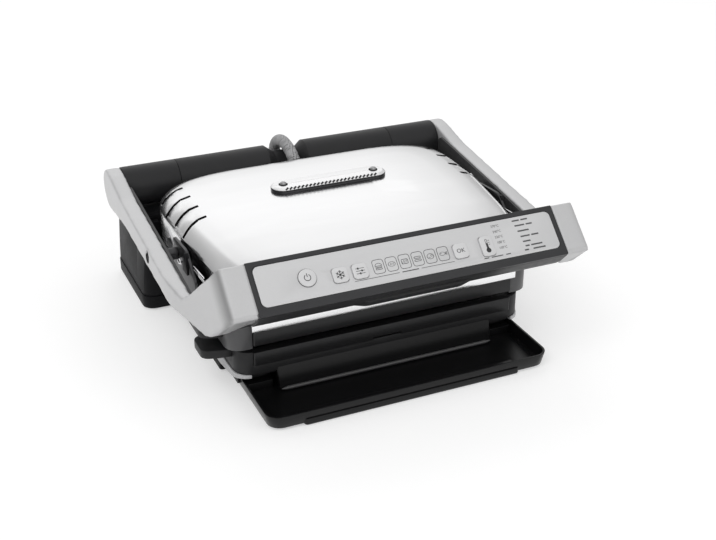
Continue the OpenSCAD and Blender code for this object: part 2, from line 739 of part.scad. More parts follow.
module key_switches() color([0.15, 0.15, 0.15]) on_panel()
    for (at = [power_at, frozen_at, manual_at, ok_at, heat_at])
        block(at[0] - 3, at[0] + 3, at[1] - 3, at[1] + 3, board_z + board_t,
              stem_low - key_travel - 0.1, 0.8);

// ---------------------------------------------------------------- float pins

module float_pins() color([0.70, 0.70, 0.72]) hinge_frame() both_sides() {
    rod_x(bracket_x - 0.6, arm_out - 4, -pivot_reach, pivot_z, pivot_r);
    rod_x(bracket_x + bracket_t + gap, liner_in - gap, -pivot_reach, pivot_z, pivot_r + 3);
}

// ---------------------------------------------------------------- lid

// How far the crown falls away from the flat under the name plate
function fall(away, flat, edge, most) = most * pow(max(0, away - flat) / (edge - flat), 2);

function crown(x, y) = let (to_rear = y + badge_y)
    crown_z - fall(abs(x), badge_w / 2 + 2, cover_half, side_fall)
    - (to_rear > 0 ? fall(to_rear, badge_d / 2 + 2, badge_y - cover_rear, rear_fall)
                   : fall(-to_rear, badge_d / 2 + 2, cover_front - badge_y, front_fall));

// Point of the squared oval that the cover's walls follow, narrower towards the front
function cover_plan(t, inset) =
    let (half_l = (cover_front - cover_rear) / 2 - inset,
         y = half_l * sign(sin(t)) * pow(abs(sin(t)), squareness),
         half_w = cover_half - inset - front_taper * max(0, half_l / 4 - y) / (half_l * 5 / 4))
    [half_w * sign(cos(t)) * pow(abs(cos(t)), squareness), y];

function shoulder_drop(t) = let (end = pow(sin(t), 2))
    side_shoulder * (1 - end) + (sin(t) > 0 ? rear_shoulder : front_shoulder) * end;

function cover_top(t, share, inset) = let (p = cover_plan(t, inset) * share - [0, cover_mid])
    [p.x, p.y, crown(p.x, p.y) - inset
        - shoulder_drop(t) * pow(max(0, share - shoulder_at) / (1 - shoulder_at), 2.4)];

function cover_wall(t, z, inset) = let (p = cover_plan(t, inset)) [p.x, p.y - cover_mid, z];

function cover_rings(inset) = let (turns = [0:360 / 64:359], low = frame_top - (inset > 0 ? 1 : 0))
    concat([for (z = [low, frame_top + 24]) [for (t = turns) cover_wall(t, z, inset)]],
           [for (share = [1, 0.985, 0.965, 0.94, 0.90, shoulder_at, 0.7, 0.5, 0.25])
               [for (t = turns) cover_top(t, share, inset)]]);

module skin(rings) {
    n = len(rings[0]);
    m = len(rings);
    polyhedron(points = [for (r = rings) each r],
        faces = concat([[for (i = [0:n - 1]) i]],
            [for (k = [0:m - 2]) for (i = [0:n - 1]) let (j = (i + 1) % n, a = k * n, b = a + n)
                each [[a + i, b + i, b + j], [a + i, b + j, a + j]]],
            [[for (i = [n - 1:-1:0]) (m - 1) * n + i]]));
}

front_skirt_t = cover_t + 0.6;
notch_pitch = (2 * cover_half - 68) / (notch_n - 1);

module lid_cover() color([0.86, 0.86, 0.87]) hinge_frame() {
    difference() {
        skin(cover_rings(0));
        skin(cover_rings(cover_t));
        both_sides() for (i = [0:louvre_n - 1])
            box(louvre_in, cover_half + 4, -louvre_first - i * louvre_pitch - slot_w / 2,
                -louvre_first - i * louvre_pitch + slot_w / 2, crown_z - 18, crown_z + 4);
        for (i = [0:notch_n - 1]) let (x = (i - (notch_n - 1) / 2) * notch_pitch)
            box(x - 1.4, x + 1.4, -cover_rear - 5, -cover_rear + 3, crown_z - 20, crown_z + 4);
        sleeve_axis() translate([0, 0, -2]) cylinder(h = 14, r = sleeve_r + gap);
    }
    // bright skirt below the front edge
    box(-band_half - 2, band_half + 2, -cover_front, -cover_front + front_skirt_t, upper_top, frame_top);
}

badge_y = 120;
badge_t = 2.4;

module name_plate() color([0.80, 0.80, 0.81]) hinge_frame() difference() {
    block(-badge_w / 2, badge_w / 2, -badge_y - badge_d / 2, -badge_y + badge_d / 2, crown_z,
          crown_z + badge_t, badge_d / 2 - 0.1);
    both_sides() translate([rivet_x, -badge_y, crown_z - 1]) cylinder(h = badge_t + 2, r = rivet_r);
}

rivet_x = badge_w / 2 - 12;
rivet_r = 2;
rivet_head = 4.5;

module plate_rivets() color([0.25, 0.25, 0.26]) hinge_frame() both_sides()
    translate([rivet_x, -badge_y, crown_z]) {
        cylinder(h = badge_t, r = rivet_r - run_gap);
        translate([0, 0, badge_t]) cylinder(h = 1.6, r1 = rivet_head, r2 = rivet_head - 1.9);
    }

module lid_frame() color([0.12, 0.12, 0.13]) hinge_frame() difference() {
    union() {
        block(-frame_half, frame_half, -frame_front, -frame_rear, frame_low, flange_low, 14);
        along_z(flange_low, frame_top, [for (t = [0:360 / 64:359]) cover_plan(t, 0) - [0, cover_mid]]);
        both_sides() box(frame_half - 1, bracket_x, -hanger_front, -hanger_rear, hanger_low, flange_low);
    }
    block(-frame_half + wall, frame_half - wall, -frame_front + wall, -frame_rear - wall, frame_low - 1,
          flange_low, 11);
    block(-frame_half + 20, frame_half - 20, -frame_front + 20, -frame_rear - 20, frame_low,
          frame_top + 1, 11);
    box(-band_half - gap, band_half + gap, -frame_front - 1, -frame_front + 6, frame_low - 1, upper_top);
    box(-band_half - 2, band_half + 2, -cover_front - 1, -cover_front + front_skirt_t, flange_low - 1,
        frame_top + 1);
    box(-frame_half - 1, -frame_half + wall + release_travel + gap, -release_y - release_l / 2 - gap,
        -release_y + release_l / 2 + gap, upper_release_z - gap, upper_release_z + release_h + gap);
}

upper_release_z = 56;
hanger_front = release_y - release_l / 2 - 2;
hanger_rear = pivot_reach - 19;
hanger_low = 57;

module upper_release() color([0.09, 0.09, 0.10]) hinge_frame()
    release_tab(frame_half, upper_release_z, arm_in - 4 - frame_half);

// Bright side plates that hang the lid on its pivots, each with a dark stop lever
module lid_brackets() color([0.75, 0.75, 0.77]) hinge_frame() both_sides() difference() {
    along_x(bracket_x, bracket_x + bracket_t, rounded([
        [-hanger_front, hanger_low, 4], [-hanger_rear, hanger_low, 4],
        [-hanger_rear - 6, pivot_z + 12, 9], [-hanger_rear - 48, pivot_z + 15, 12],
        [-hanger_front, pivot_z - 6, 10]]));
    rod_x(bracket_x - 1, bracket_x + bracket_t + 1, -pivot_reach, pivot_z, pivot_r + run_gap);
}

module upper_plate() color([0.20, 0.20, 0.21]) hinge_frame() {
    difference() {
        block(-plate_half, plate_half, -plate_front, -plate_rear - 4, upper_low, upper_top - 4, 14);
        block(-plate_half + 4, plate_half - 4, -plate_front + 4, -plate_rear - 8, upper_low + plate_t,
              upper_top, 10);
    }
    block(-band_half, band_half, -frame_front - 3, -plate_front + 1, upper_band_low,
          upper_top - 0.2, 1.2);
    plate_ribs(upper_low - rib_h, upper_low + eps);
}

module upper_heater() color([0.35, 0.35, 0.36]) hinge_frame() 
    heater(upper_low + plate_t + gap + heater_r, heater_r, -plate_rear - 8 - gap);

module upper_reflector() color([0.62, 0.62, 0.63]) hinge_frame() {
    block(-plate_half + 14, plate_half - 14, -plate_front + 16, -plate_rear - 14, upper_low + plate_t + 7.4,
          upper_low + plate_t + 8.4, 12);
    both_sides() for (y = [-plate_front + plate_span * 0.2, -plate_rear - plate_span * 0.2])
        translate([plate_half - 20, y, upper_low + plate_t]) cylinder(h = 7.4, r = 3);
}

// Collar on the lid's rear wall that the sleeve runs into at a slant
module sleeve_socket() color([0.10, 0.10, 0.11]) hinge_frame() difference() {
    sleeve_axis() cylinder(h = 18, r = sleeve_r + 3, center = true);
    sleeve_axis() translate([0, 0, -1]) cylinder(h = 13, r = sleeve_r + gap);
    box(-20, 20, -cover_rear - 30, -cover_rear, 60, 140);
}

// Frames along the sleeve's route, and the tube swept through them
function sweep_ring(k) =
    let (n = len(sleeve_pts), p = sleeve_pts[k],
         d = unit(sleeve_pts[min(k + 1, n - 1)] - sleeve_pts[max(k - 1, 0)]),
         u = unit(cross([1, 0, 0], d)), v = cross(d, u))
    [for (i = [0:ring_n - 1]) p + sleeve_r * (cos(360 * i / ring_n) * u + sin(360 * i / ring_n) * v)];

module cable_sleeve() color([0.76, 0.76, 0.76]) hinge_frame()
    skin([for (k = [0:len(sleeve_pts) - 1]) sweep_ring(k)]);

base_tub();
tray_guides();
side_skirts();
rear_housing();
housing_cheeks();
hinge_barrel();
hinge_pins();
base_pan();
rubber_feet();
drain_apron();
lower_plate();
lower_heater();
lower_reflector();
plate_probe();
power_board();
cord_gland();
sleeve_gland();
base_screws();
lower_release();
drip_tray();
left_arm();
right_arm();
arm_liners();
hinge_collars();
hinge_bushes();
handle_shell();
panel_bezel();
panel_insert();
control_board();
key_switches();
key_power();
key_frozen();
key_manual();
key_ok();
key_heat();
float_pins();
lid_cover();
name_plate();
plate_rivets();
lid_frame();
lid_brackets();
upper_plate();
upper_heater();
upper_reflector();
sleeve_socket();
upper_release();
cable_sleeve();
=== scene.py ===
"""Looks of an electric indoor grill with a lid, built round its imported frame."""

import logging
import math
from collections.abc import Sequence
from dataclasses import dataclass
from enum import Enum

import bmesh
import bpy
from bmesh.types import BMEdge, BMesh, BMFace, BMLayerItem, BMVert
from bpy.types import Node, NodeSocket
from mathutils import Matrix, Vector
from mathutils.bvhtree import BVHTree


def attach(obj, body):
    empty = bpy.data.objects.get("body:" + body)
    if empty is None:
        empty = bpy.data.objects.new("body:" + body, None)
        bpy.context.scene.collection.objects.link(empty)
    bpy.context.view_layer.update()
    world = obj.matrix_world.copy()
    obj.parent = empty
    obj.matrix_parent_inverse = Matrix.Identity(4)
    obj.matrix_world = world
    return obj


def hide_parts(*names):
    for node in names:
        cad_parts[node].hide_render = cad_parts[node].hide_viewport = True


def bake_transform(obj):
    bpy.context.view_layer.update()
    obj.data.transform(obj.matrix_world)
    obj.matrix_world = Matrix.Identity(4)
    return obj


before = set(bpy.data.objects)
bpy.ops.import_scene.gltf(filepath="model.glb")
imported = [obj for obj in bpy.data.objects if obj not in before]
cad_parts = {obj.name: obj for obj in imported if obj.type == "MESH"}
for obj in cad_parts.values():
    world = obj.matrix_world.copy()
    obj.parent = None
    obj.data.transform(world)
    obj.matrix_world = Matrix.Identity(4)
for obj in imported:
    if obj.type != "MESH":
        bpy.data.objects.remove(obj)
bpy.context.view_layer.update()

log = logging.getLogger("grill")

MM = 0.001
HINGE_Y = 0.138
FROM_HINGE = Matrix.Translation((0.0, HINGE_Y, 0.0)) @ Matrix.Scale(MM, 4)
SMOOTHEST, ROUGHEST = 0.02, 1.0
COAT_ROUGHNESS = 0.08
FLAT = 0.6
NODE_DOUBLES, MARK_DOUBLES, TURNED_DOUBLES = 2e-6, 0.001, 0.0005
TURNED_SIDES = 32
CAPITAL = 0.69
STROKE = 0.42
ARC_STEP = 15
ARC_LEAST = 6
WHITE = (1.0, 1.0, 1.0, 1.0)
Colour = tuple[float, float, float]
Spot = tuple[float, float, float]
Point = tuple[float, float]
Marks = Sequence[tuple]


# ---- finishes


class Nodes:
    """Adds nodes to the tree of a material or of the world."""

    def __init__(self, owner: bpy.types.Material | bpy.types.World) -> None:
        """Start on the owner's tree."""
        owner.use_nodes = True
        self.tree = owner.node_tree

    def fill(self, node: Node, inputs: dict[str | int, object]) -> None:
        """Fill a node's inputs.

        Args:
            node: The node.
            inputs: What each input takes: a socket to link, or a value.
        """
        for key, value in inputs.items():
            if isinstance(value, NodeSocket):
                self.tree.links.new(value, node.inputs[key])
            else:
                node.inputs[key].default_value = value

    def add(self, kind: str, output: str | int, inputs: dict[str | int, object] | None = None,
            **options: str) -> NodeSocket:
        """Add a node.

        Args:
            kind: Its type, without the ShaderNode in front.
            output: The output to return.
            inputs: What each input takes: a socket to link, or a value.
            **options: The node's own settings.

        Returns:
            The output's socket.
        """
        node = self.tree.nodes.new(f"ShaderNode{kind}")
        for option, value in options.items():
            setattr(node, option, value)
        self.fill(node, inputs or {})
        return node.outputs[output]

    def math(self, operation: str, *values: NodeSocket | float) -> NodeSocket:
        """Add one step of arithmetic and return its result."""
        return self.add("Math", "Value", dict(enumerate(values)), operation=operation)

    def noise(self, place: NodeSocket, scale: float, detail: float = 3.0) -> NodeSocket:
        """Add a noise with so many repeats per metre and finer layers, and return its grey."""
        return self.add("TexNoise", "Fac", {"Vector": place, "Scale": scale, "Detail": detail})

    def ramp(self, source: NodeSocket, stops: Sequence[tuple[float, Colour]],
             easing: str = "LINEAR") -> NodeSocket:
        """Turn a value into a colour.

        Args:
            source: The value, from 0 to 1.
            stops: Positions and their colours.
            easing: How the colours run into each other.

        Returns:
            The colour's socket.
        """
        colour = self.add("ValToRGB", "Color", {"Fac": source})
        ramp = colour.node.color_ramp
        ramp.interpolation = easing
        while len(ramp.elements) < len(stops):
            ramp.elements.new(0.5)
        for element, (position, tone) in zip(ramp.elements, stops):
            element.position = position
            element.color = (*tone, 1.0)
        return colour


class Coordinates(Enum):
    """Which coordinates a finish's pattern follows."""

    OBJECT = "Object"
    UV = "UV"


@dataclass(frozen=True)
class Finish:
    """A surface finish with mottled colour, uneven gloss and a fine grain.

    The scales are in repeats per metre, and the grain's depth is in metres.
    """

    name: str
    colour: Colour
    roughness: float
    metallic: float = 0.0
    coat: float = 0.0
    specular: float = 0.5
    mottle: float = 0.04
    mottle_scale: float = 60.0
    spread: float = 0.06
    spread_scale: float = 180.0
    grain: float = 0.15
    grain_scale: float = 2200.0
    grain_depth: float = 0.00004
    stretch: Spot = (1.0, 1.0, 1.0)
    coordinates: Coordinates = Coordinates.OBJECT

    def build(self) -> bpy.types.Material:
        """Make the material, or return the one made before.

        Returns:
            The finish as a node material.
        """
        known = bpy.data.materials.get(self.name)
        if known:
            return known
        material = bpy.data.materials.new(self.name)
        nodes = Nodes(material)
        place = nodes.add("Mapping", "Vector", {
            "Vector": nodes.add("TexCoord", self.coordinates.value), "Scale": self.stretch})
        gloss = nodes.add("MapRange", "Result", {
            "Value": nodes.noise(place, self.spread_scale),
            "To Min": max(SMOOTHEST, self.roughness - self.spread),
            "To Max": min(ROUGHEST, self.roughness + self.spread)})
        bump = nodes.add("Bump", "Normal", {
            "Strength": self.grain, "Distance": self.grain_depth, "Height": self.relief(nodes, place)})
        nodes.fill(nodes.tree.nodes["Principled BSDF"], {
            "Metallic": self.metallic, "Coat Weight": self.coat, "Coat Roughness": COAT_ROUGHNESS,
            "Specular IOR Level": self.specular, "Base Color": self.tint(nodes, place),
            "Roughness": gloss, "Normal": bump})
        return material

    def shade(self, factor: float) -> Colour:
        """Return the colour made lighter or darker by a factor."""
        return tuple(min(1.0, part * factor) for part in self.colour)

    def tint(self, nodes: Nodes, place: NodeSocket) -> NodeSocket:
        """Return the mottled base colour at the pattern's place."""
        return nodes.ramp(nodes.noise(place, self.mottle_scale),
                          ((0.3, self.shade(1 - self.mottle)), (0.7, self.shade(1 + self.mottle))))

    def relief(self, nodes: Nodes, place: NodeSocket) -> NodeSocket:
        """Return the fine relief's height at the pattern's place."""
        return nodes.noise(place, self.grain_scale, 2.0)


@dataclass(frozen=True)
class BraidFinish(Finish):
    """A woven tube's finish: two sets of strands that cross over each other."""

    turns: float = 16.0
    rows: float = 330.0
    strand_scale: float = 0.35
    coordinates: Coordinates = Coordinates.UV

    def relief(self, nodes: Nodes, place: NodeSocket) -> NodeSocket:
        """Cross the two sets of slanting strands.

        Args:
            nodes: The material's nodes.
            place: The coordinates.

        Returns:
            The weave's height, from 0 to 1.
        """
        weave = nodes.add("Mapping", "Vector", {"Vector": place, "Scale": (self.turns, self.rows, 1.0)})
        strands = []
        for lean in (45, -45):
            turned = nodes.add("Mapping", "Vector", {
                "Vector": weave, "Rotation": (0.0, 0.0, math.radians(lean))})
            strands.append(nodes.add("TexWave", "Fac", {"Vector": turned, "Scale": self.strand_scale}))
        return nodes.math("MAXIMUM", *strands)

    def tint(self, nodes: Nodes, place: NodeSocket) -> NodeSocket:
        """Return the colour with painted shade: darker in the hollows between the strands."""
        # painted shade: the weave's hollows take the darkest colour
        return nodes.ramp(self.relief(nodes, place), ((0.35, self.shade(0.35)), (0.85, self.shade(1.1))))


@dataclass(frozen=True)
class FoldShadeFinish(Finish):
    """A silver paint finish with painted shade: a soft dark band down the fold of each end cap, a painted
    dark reflection. Lengths in metres.
    """

    fold_x: float = 0.1640
    fold_half: float = 0.0036
    fold_start: float = -0.104
    fold_full: float = -0.120
    fold_shade_depth: float = 0.5
    fold_shade_colour: tuple[float, ...] = (0.02, 0.02, 0.02, 1.0)

    @staticmethod
    def fade(nodes: Nodes, length: NodeSocket, full: float, none: float) -> NodeSocket:
        """Return a share that is 1 at the full length, 0 at the none length and smooth between."""
        return nodes.add("MapRange", "Result", {
            "Value": length, "From Min": full, "From Max": none, "To Min": 1.0, "To Max": 0.0},
            interpolation_type="SMOOTHSTEP")

    def tint(self, nodes: Nodes, place: NodeSocket) -> NodeSocket:
        """Mottle the base colour and paint shade down the folds.

        Args:
            nodes: The material's nodes.
            place: The coordinates.

        Returns:
            The colour's socket.
        """
        across = nodes.add("SeparateXYZ", "X", {"Vector": place})
        offset = nodes.math("SUBTRACT", nodes.math("ABSOLUTE", across), self.fold_x)
        band = self.fade(nodes, nodes.math("ABSOLUTE", offset), 0.0, self.fold_half)
        reach = self.fade(nodes, across.node.outputs["Y"], self.fold_full, self.fold_start)
        # painted shade: blend towards the shade colour in a soft band along each fold, for the fold's dark
        # reflection
        dark = nodes.math("MULTIPLY", nodes.math("MULTIPLY", band, reach), self.fold_shade_depth)
        return nodes.add("Mix", 2, {0: dark, 6: super().tint(nodes, place), 7: self.fold_shade_colour},
                         data_type="RGBA")


# the arms' silver paint, with painted shade down each end cap's fold
ARM_SILVER = FoldShadeFinish("arm_silver_paint_with_fold_shade", (0.57, 0.57, 0.575), 0.36, metallic=0.4, coat=0.1, mottle=0.02,
                        mottle_scale=900, grain=0.25, grain_scale=5200, grain_depth=0.00002)
POLISHED_STEEL = Finish("polished_steel", (0.88, 0.88, 0.885), 0.2, metallic=1.0, mottle=0.012, spread=0.03,
                        grain=0.05, grain_scale=600, stretch=(0.1, 1.0, 1.0))
GRAINED_BLACK = Finish("grained_black_plastic", (0.021, 0.021, 0.022), 0.46, specular=0.28, mottle=0.1,
                       grain=0.35, grain_scale=1800)
# painted shade inside the lid's slots
SLOT_SHADE_BLACK = Finish("painted_slot_shade_black", (0.0015, 0.0015, 0.0016), 0.8, specular=0.05, mottle=0.05)
BLOCK_BLACK = Finish("fine_black_plastic", (0.010, 0.010, 0.011), 0.5, specular=0.1, mottle=0.1, grain=0.3,
                     grain_scale=2200)
# a lighter black that paints the drain lip's highlight
LIP_HIGHLIGHT_BLACK = Finish("lit_black_edge", (0.075, 0.075, 0.077), 0.3, specular=0.6, mottle=0.05, grain=0.1)
GLOSS_BLACK = Finish("gloss_black_plastic", (0.0052, 0.0052, 0.0056), 0.3, specular=0.3, mottle=0.08,
                     spread=0.04, grain=0.06, grain_scale=500)
FRAME_BLACK = Finish("frame_black_plastic", (0.115, 0.115, 0.118), 0.34, specular=0.4, mottle=0.08, grain=0.2,
                     grain_scale=2600)
DARK_STEEL = Finish("dark_bracket_steel", (0.07, 0.07, 0.072), 0.32, metallic=0.9, mottle=0.1, grain=0.1)
BAR_BLACK = Finish("satin_black_plastic", (0.020, 0.020, 0.021), 0.42, specular=0.26, mottle=0.06, grain=0.25,
                   grain_scale=2600)
DARK_SATIN = Finish("dark_satin_plastic", (0.030, 0.030, 0.032), 0.36, specular=0.35, mottle=0.06, grain=0.2,
                    grain_scale=2600)
PANEL_SILVER = Finish("panel_silver_lacquer", (0.62, 0.62, 0.625), 0.32, metallic=0.25, coat=0.15,
                      mottle=0.015, mottle_scale=1500, grain=0.1, grain_scale=4000, grain_depth=0.00002)
KEY_SILVER = Finish("key_silver_film", (0.66, 0.66, 0.665), 0.3, metallic=0.1, coat=0.3, mottle=0.02,
                    grain=0.1, grain_scale=3000, grain_depth=0.00002)
SKIRT_GREY = Finish("pale_grey_plastic", (0.58, 0.58, 0.59), 0.4, mottle=0.03, grain=0.25)
NON_STICK = Finish("non_stick_coating", (0.022, 0.022, 0.023), 0.34, metallic=0.2, specular=0.35, mottle=0.35,
                   mottle_scale=2600, grain=0.4, grain_scale=1300)
LINER_GREY = Finish("liner_plastic", (0.042, 0.042, 0.043), 0.42, specular=0.3, mottle=0.08, grain=0.3,
                    grain_scale=2200)
BRIGHT_STEEL = Finish("bright_steel", (0.78, 0.78, 0.79), 0.18, metallic=1.0, mottle=0.03, grain=0.1)
BADGE_STEEL = Finish("satin_badge_metal", (0.90, 0.90, 0.905), 0.28, metallic=0.75, mottle=0.015, grain=0.08,
                     grain_scale=900, stretch=(0.1, 1.0, 1.0))
# a dark metal that paints the shade on the name plate's side wall and ribs
NICKEL_PAINTED_SHADE = Finish("nickel_painted_shade", (0.05, 0.05, 0.052), 0.14, metallic=1.0, mottle=0.05, spread=0.03,
                     grain=0.05)
RIVET_STEEL = Finish("domed_grey_metal", (0.40, 0.40, 0.405), 0.16, metallic=1.0, mottle=0.05)
HEATER_STEEL = Finish("oxidised_steel", (0.17, 0.165, 0.16), 0.5, metallic=0.9, mottle=0.25, mottle_scale=200)
SHEET_ALUMINIUM = Finish("mill_aluminium", (0.66, 0.66, 0.67), 0.36, metallic=1.0, stretch=(0.1, 1.0, 1.0))
TURNED_BRASS = Finish("turned_brass", (0.62, 0.46, 0.20), 0.25, metallic=1.0)
BLACK_RUBBER = Finish("black_rubber", (0.014, 0.014, 0.014), 0.75, specular=0.3, mottle=0.15, grain=0.5,
                      grain_scale=1500)
BOARD_GREEN = Finish("solder_mask", (0.03, 0.14, 0.06), 0.3, coat=0.4, mottle=0.12, mottle_scale=400)
GREY_BRAID = BraidFinish("woven_glass_sleeve", (0.36, 0.36, 0.365), 0.6, mottle=0.16, mottle_scale=30,
                         grain=0.9, grain_depth=0.0005)
PRINT_GREY = Finish("grey_print", (0.07, 0.07, 0.072), 0.5, mottle=0.05)
PRINT_BLACK = Finish("black_print", (0.025, 0.025, 0.026), 0.5, mottle=0.05)


# ---- workshop


class Workshop:
    """Ways of making, dressing and fixing a piece that the sub-assemblies share."""

    @staticmethod
    def put(name: str, work: BMesh, material: bpy.types.Material) -> bpy.types.Object:
        """Put a finished shape in the scene.

        Args:
            name: The object's name.
            work: Its shape, in place. It is freed.
            material: Its material.

        Returns:
            The new object.
        """
        mesh = bpy.data.meshes.new(name)
        work.to_mesh(mesh)
        work.free()
        mesh.materials.append(material)
        piece = bpy.data.objects.new(name, mesh)
        bpy.context.scene.collection.objects.link(piece)
        return piece

    @classmethod
    def fix(cls, name: str, work: BMesh, body: str | None, finish: Finish, slot: str,
            replaced: tuple[str, ...] = (), crisp: float = 30.0) -> bpy.types.Object:
        """Put a piece in the scene and make it ride on its body.

        Args:
            name: The piece's name.
            work: Its shape, in place. It is freed.
            body: The body that it rides on, or None to leave it unattached.
            finish: Its finish.
            slot: The record's material slot; not used.
            replaced: The frame's nodes that it stands for.
            crisp: Angle in degrees above which an edge stays sharp.

        Returns:
            The new piece.
        """
        piece = cls.put(name, work, finish.build())
        for polygon in piece.data.polygons:
            polygon.use_smooth = True
        piece.data.set_sharp_from_angle(angle=math.radians(crisp))
        if body:
            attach(piece, body)
        if replaced:
            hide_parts(*replaced)
        log.info("%s rides on %s, %d faces", name, body, len(piece.data.polygons))
        return piece

    @staticmethod
    def node_bmesh(node: str) -> BMesh:
        """Copy a frame node's mesh, with its doubles merged and its flat faces joined.

        Args:
            node: The node's name.

        Returns:
            The copy, which the caller frees.
        """
        work = bmesh.new()
        work.from_mesh(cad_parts[node].data)
        bmesh.ops.remove_doubles(work, verts=work.verts, dist=NODE_DOUBLES)
        bmesh.ops.dissolve_limit(work, angle_limit=math.radians(FLAT), verts=work.verts, edges=work.edges,
                                 delimit=set())
        return work

    @staticmethod
    def soften(work: BMesh, width: float, angle: float = 28.0) -> None:
        """Round every edge that is sharper than an angle.

        Args:
            work: The mesh.
            width: The rounding's width, in the mesh's own unit.
            angle: The angle in degrees.
        """
        limit = math.radians(angle)
        edges = [e for e in work.edges if e.is_manifold and e.calc_face_angle(0.0) > limit]
        bmesh.ops.bevel(work, geom=edges, offset=width, offset_type="OFFSET", affect="EDGES", segments=2,
                        profile=0.5, material=-1, clamp_overlap=True, loop_slide=True)

    @classmethod
    def round_node(cls, node: str, body: str, finish: Finish, slot: str, width: float) -> None:
        """Stand a copy with rounded edges in for a frame node.

        Args:
            node: The node's name.
            body: The body that it rides on.
            finish: Its finish.
            slot: The record's material slot.
            width: The rounding's width in metres.
        """
        work = cls.node_bmesh(node)
        cls.soften(work, width)
        cls.fix(f"{node}_body", work, body, finish, slot, (node,))

    @staticmethod
    def dress_node(node: str, finish: Finish) -> None:
        """Give a frame node a finish and leave its shape alone."""
        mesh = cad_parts[node].data
        mesh.materials.clear()
        mesh.materials.append(finish.build())
        log.info("%s dressed in %s", node, finish.name)


@dataclass
class Assembly:
    """Nodes that share a body, each with its finish, slot and edge rounding."""

    body: str
    rounded: dict[str, tuple[Finish, str, float]]
    plain: dict[str, Finish]

    def build(self) -> None:
        """Round and dress the nodes."""
        for node, (finish, slot, width) in self.rounded.items():
            Workshop.round_node(node, self.body, finish, slot, width)
        for node, finish in self.plain.items():
            Workshop.dress_node(node, finish)


class Slab:
    """Makes rounded blocks from flat plates."""

    @staticmethod
    def square(work: BMesh) -> list[BMVert]:
        """Add a flat square of side 1 and return its corners."""
        return bmesh.ops.create_grid(work, x_segments=1, y_segments=1, size=0.5)["verts"]

    @staticmethod
    def round_corners(work: BMesh, corners: Sequence[BMVert], radius: float, segments: int) -> None:
        """Round a flat plate's corners."""
        bmesh.ops.bevel(work, geom=corners, offset=radius, offset_type="OFFSET", affect="VERTICES",
                        segments=segments, profile=0.5, material=-1)

    @classmethod
    def plate(cls, across: Point, along: Point, height: float, front: float, rear: float) -> BMesh:
        """Start a flat plate with rounded corners.

        Args:
            across: Its lowest and highest x.
            along: Its lowest and highest y.
            height: Its z.
            front: Radius of the corners at the lowest y.
            rear: Radius of the corners at the highest y.

        Returns:
            The plate as one face.
        """
        work = bmesh.new()
        corners = cls.square(work)
        for corner in corners:
            corner.co = Vector((across[corner.co.x > 0], along[corner.co.y > 0], height))
        middle = sum(along) / 2
        for radius, chosen in ((front, [v for v in corners if v.co.y < middle]),
                               (rear, [v for v in corners if v.co.y > middle])):
            cls.round_corners(work, chosen, radius, 6)
        return work

    @staticmethod
    def lift(work: BMesh, shift: Spot, grow: float = 0.0) -> BMFace:
        """Give the plate side walls.

        Args:
            work: The plate.
            shift: The way from it to its new face.
            grow: How much larger the new face is all round.

        Returns:
            The new face.
        """
        made = bmesh.ops.extrude_face_region(work, geom=work.faces[:])["geom"]
        face = next(f for f in made if isinstance(f, BMFace))
        bmesh.ops.translate(work, vec=shift, verts=face.verts)
        if grow:
            bounds = [[pick(v.co[axis] for v in face.verts) for pick in (min, max)] for axis in (0, 1)]
            middle = Vector((sum(bounds[0]) / 2, sum(bounds[1]) / 2, 0.0))
            scale = [(high - low + 2 * grow) / (high - low) for low, high in bounds]
            bmesh.ops.scale(work, vec=(*scale, 1.0), space=Matrix.Translation(-middle), verts=face.verts)
        bmesh.ops.recalc_face_normals(work, faces=work.faces)
        return face

    @staticmethod
    def join(work: BMesh, part: BMesh, soft: float, angle: float = 35.0) -> None:
        """Soften a finished block and add it to a mesh.

        Args:
            work: The mesh to add to, in the grill's frame.
            part: The block in millimetres, with y from the hinge line. It is freed.
            soft: Width of its softened edges, in millimetres.
            angle: Angle in degrees above which an edge is softened.
        """
        Workshop.soften(part, soft, angle)
        bmesh.ops.transform(part, matrix=FROM_HINGE, verts=part.verts)
        held = bpy.data.meshes.new("slab")
        part.to_mesh(held)
        part.free()
        work.from_mesh(held)
        bpy.data.meshes.remove(held)


# ---- flat marks and turned pieces


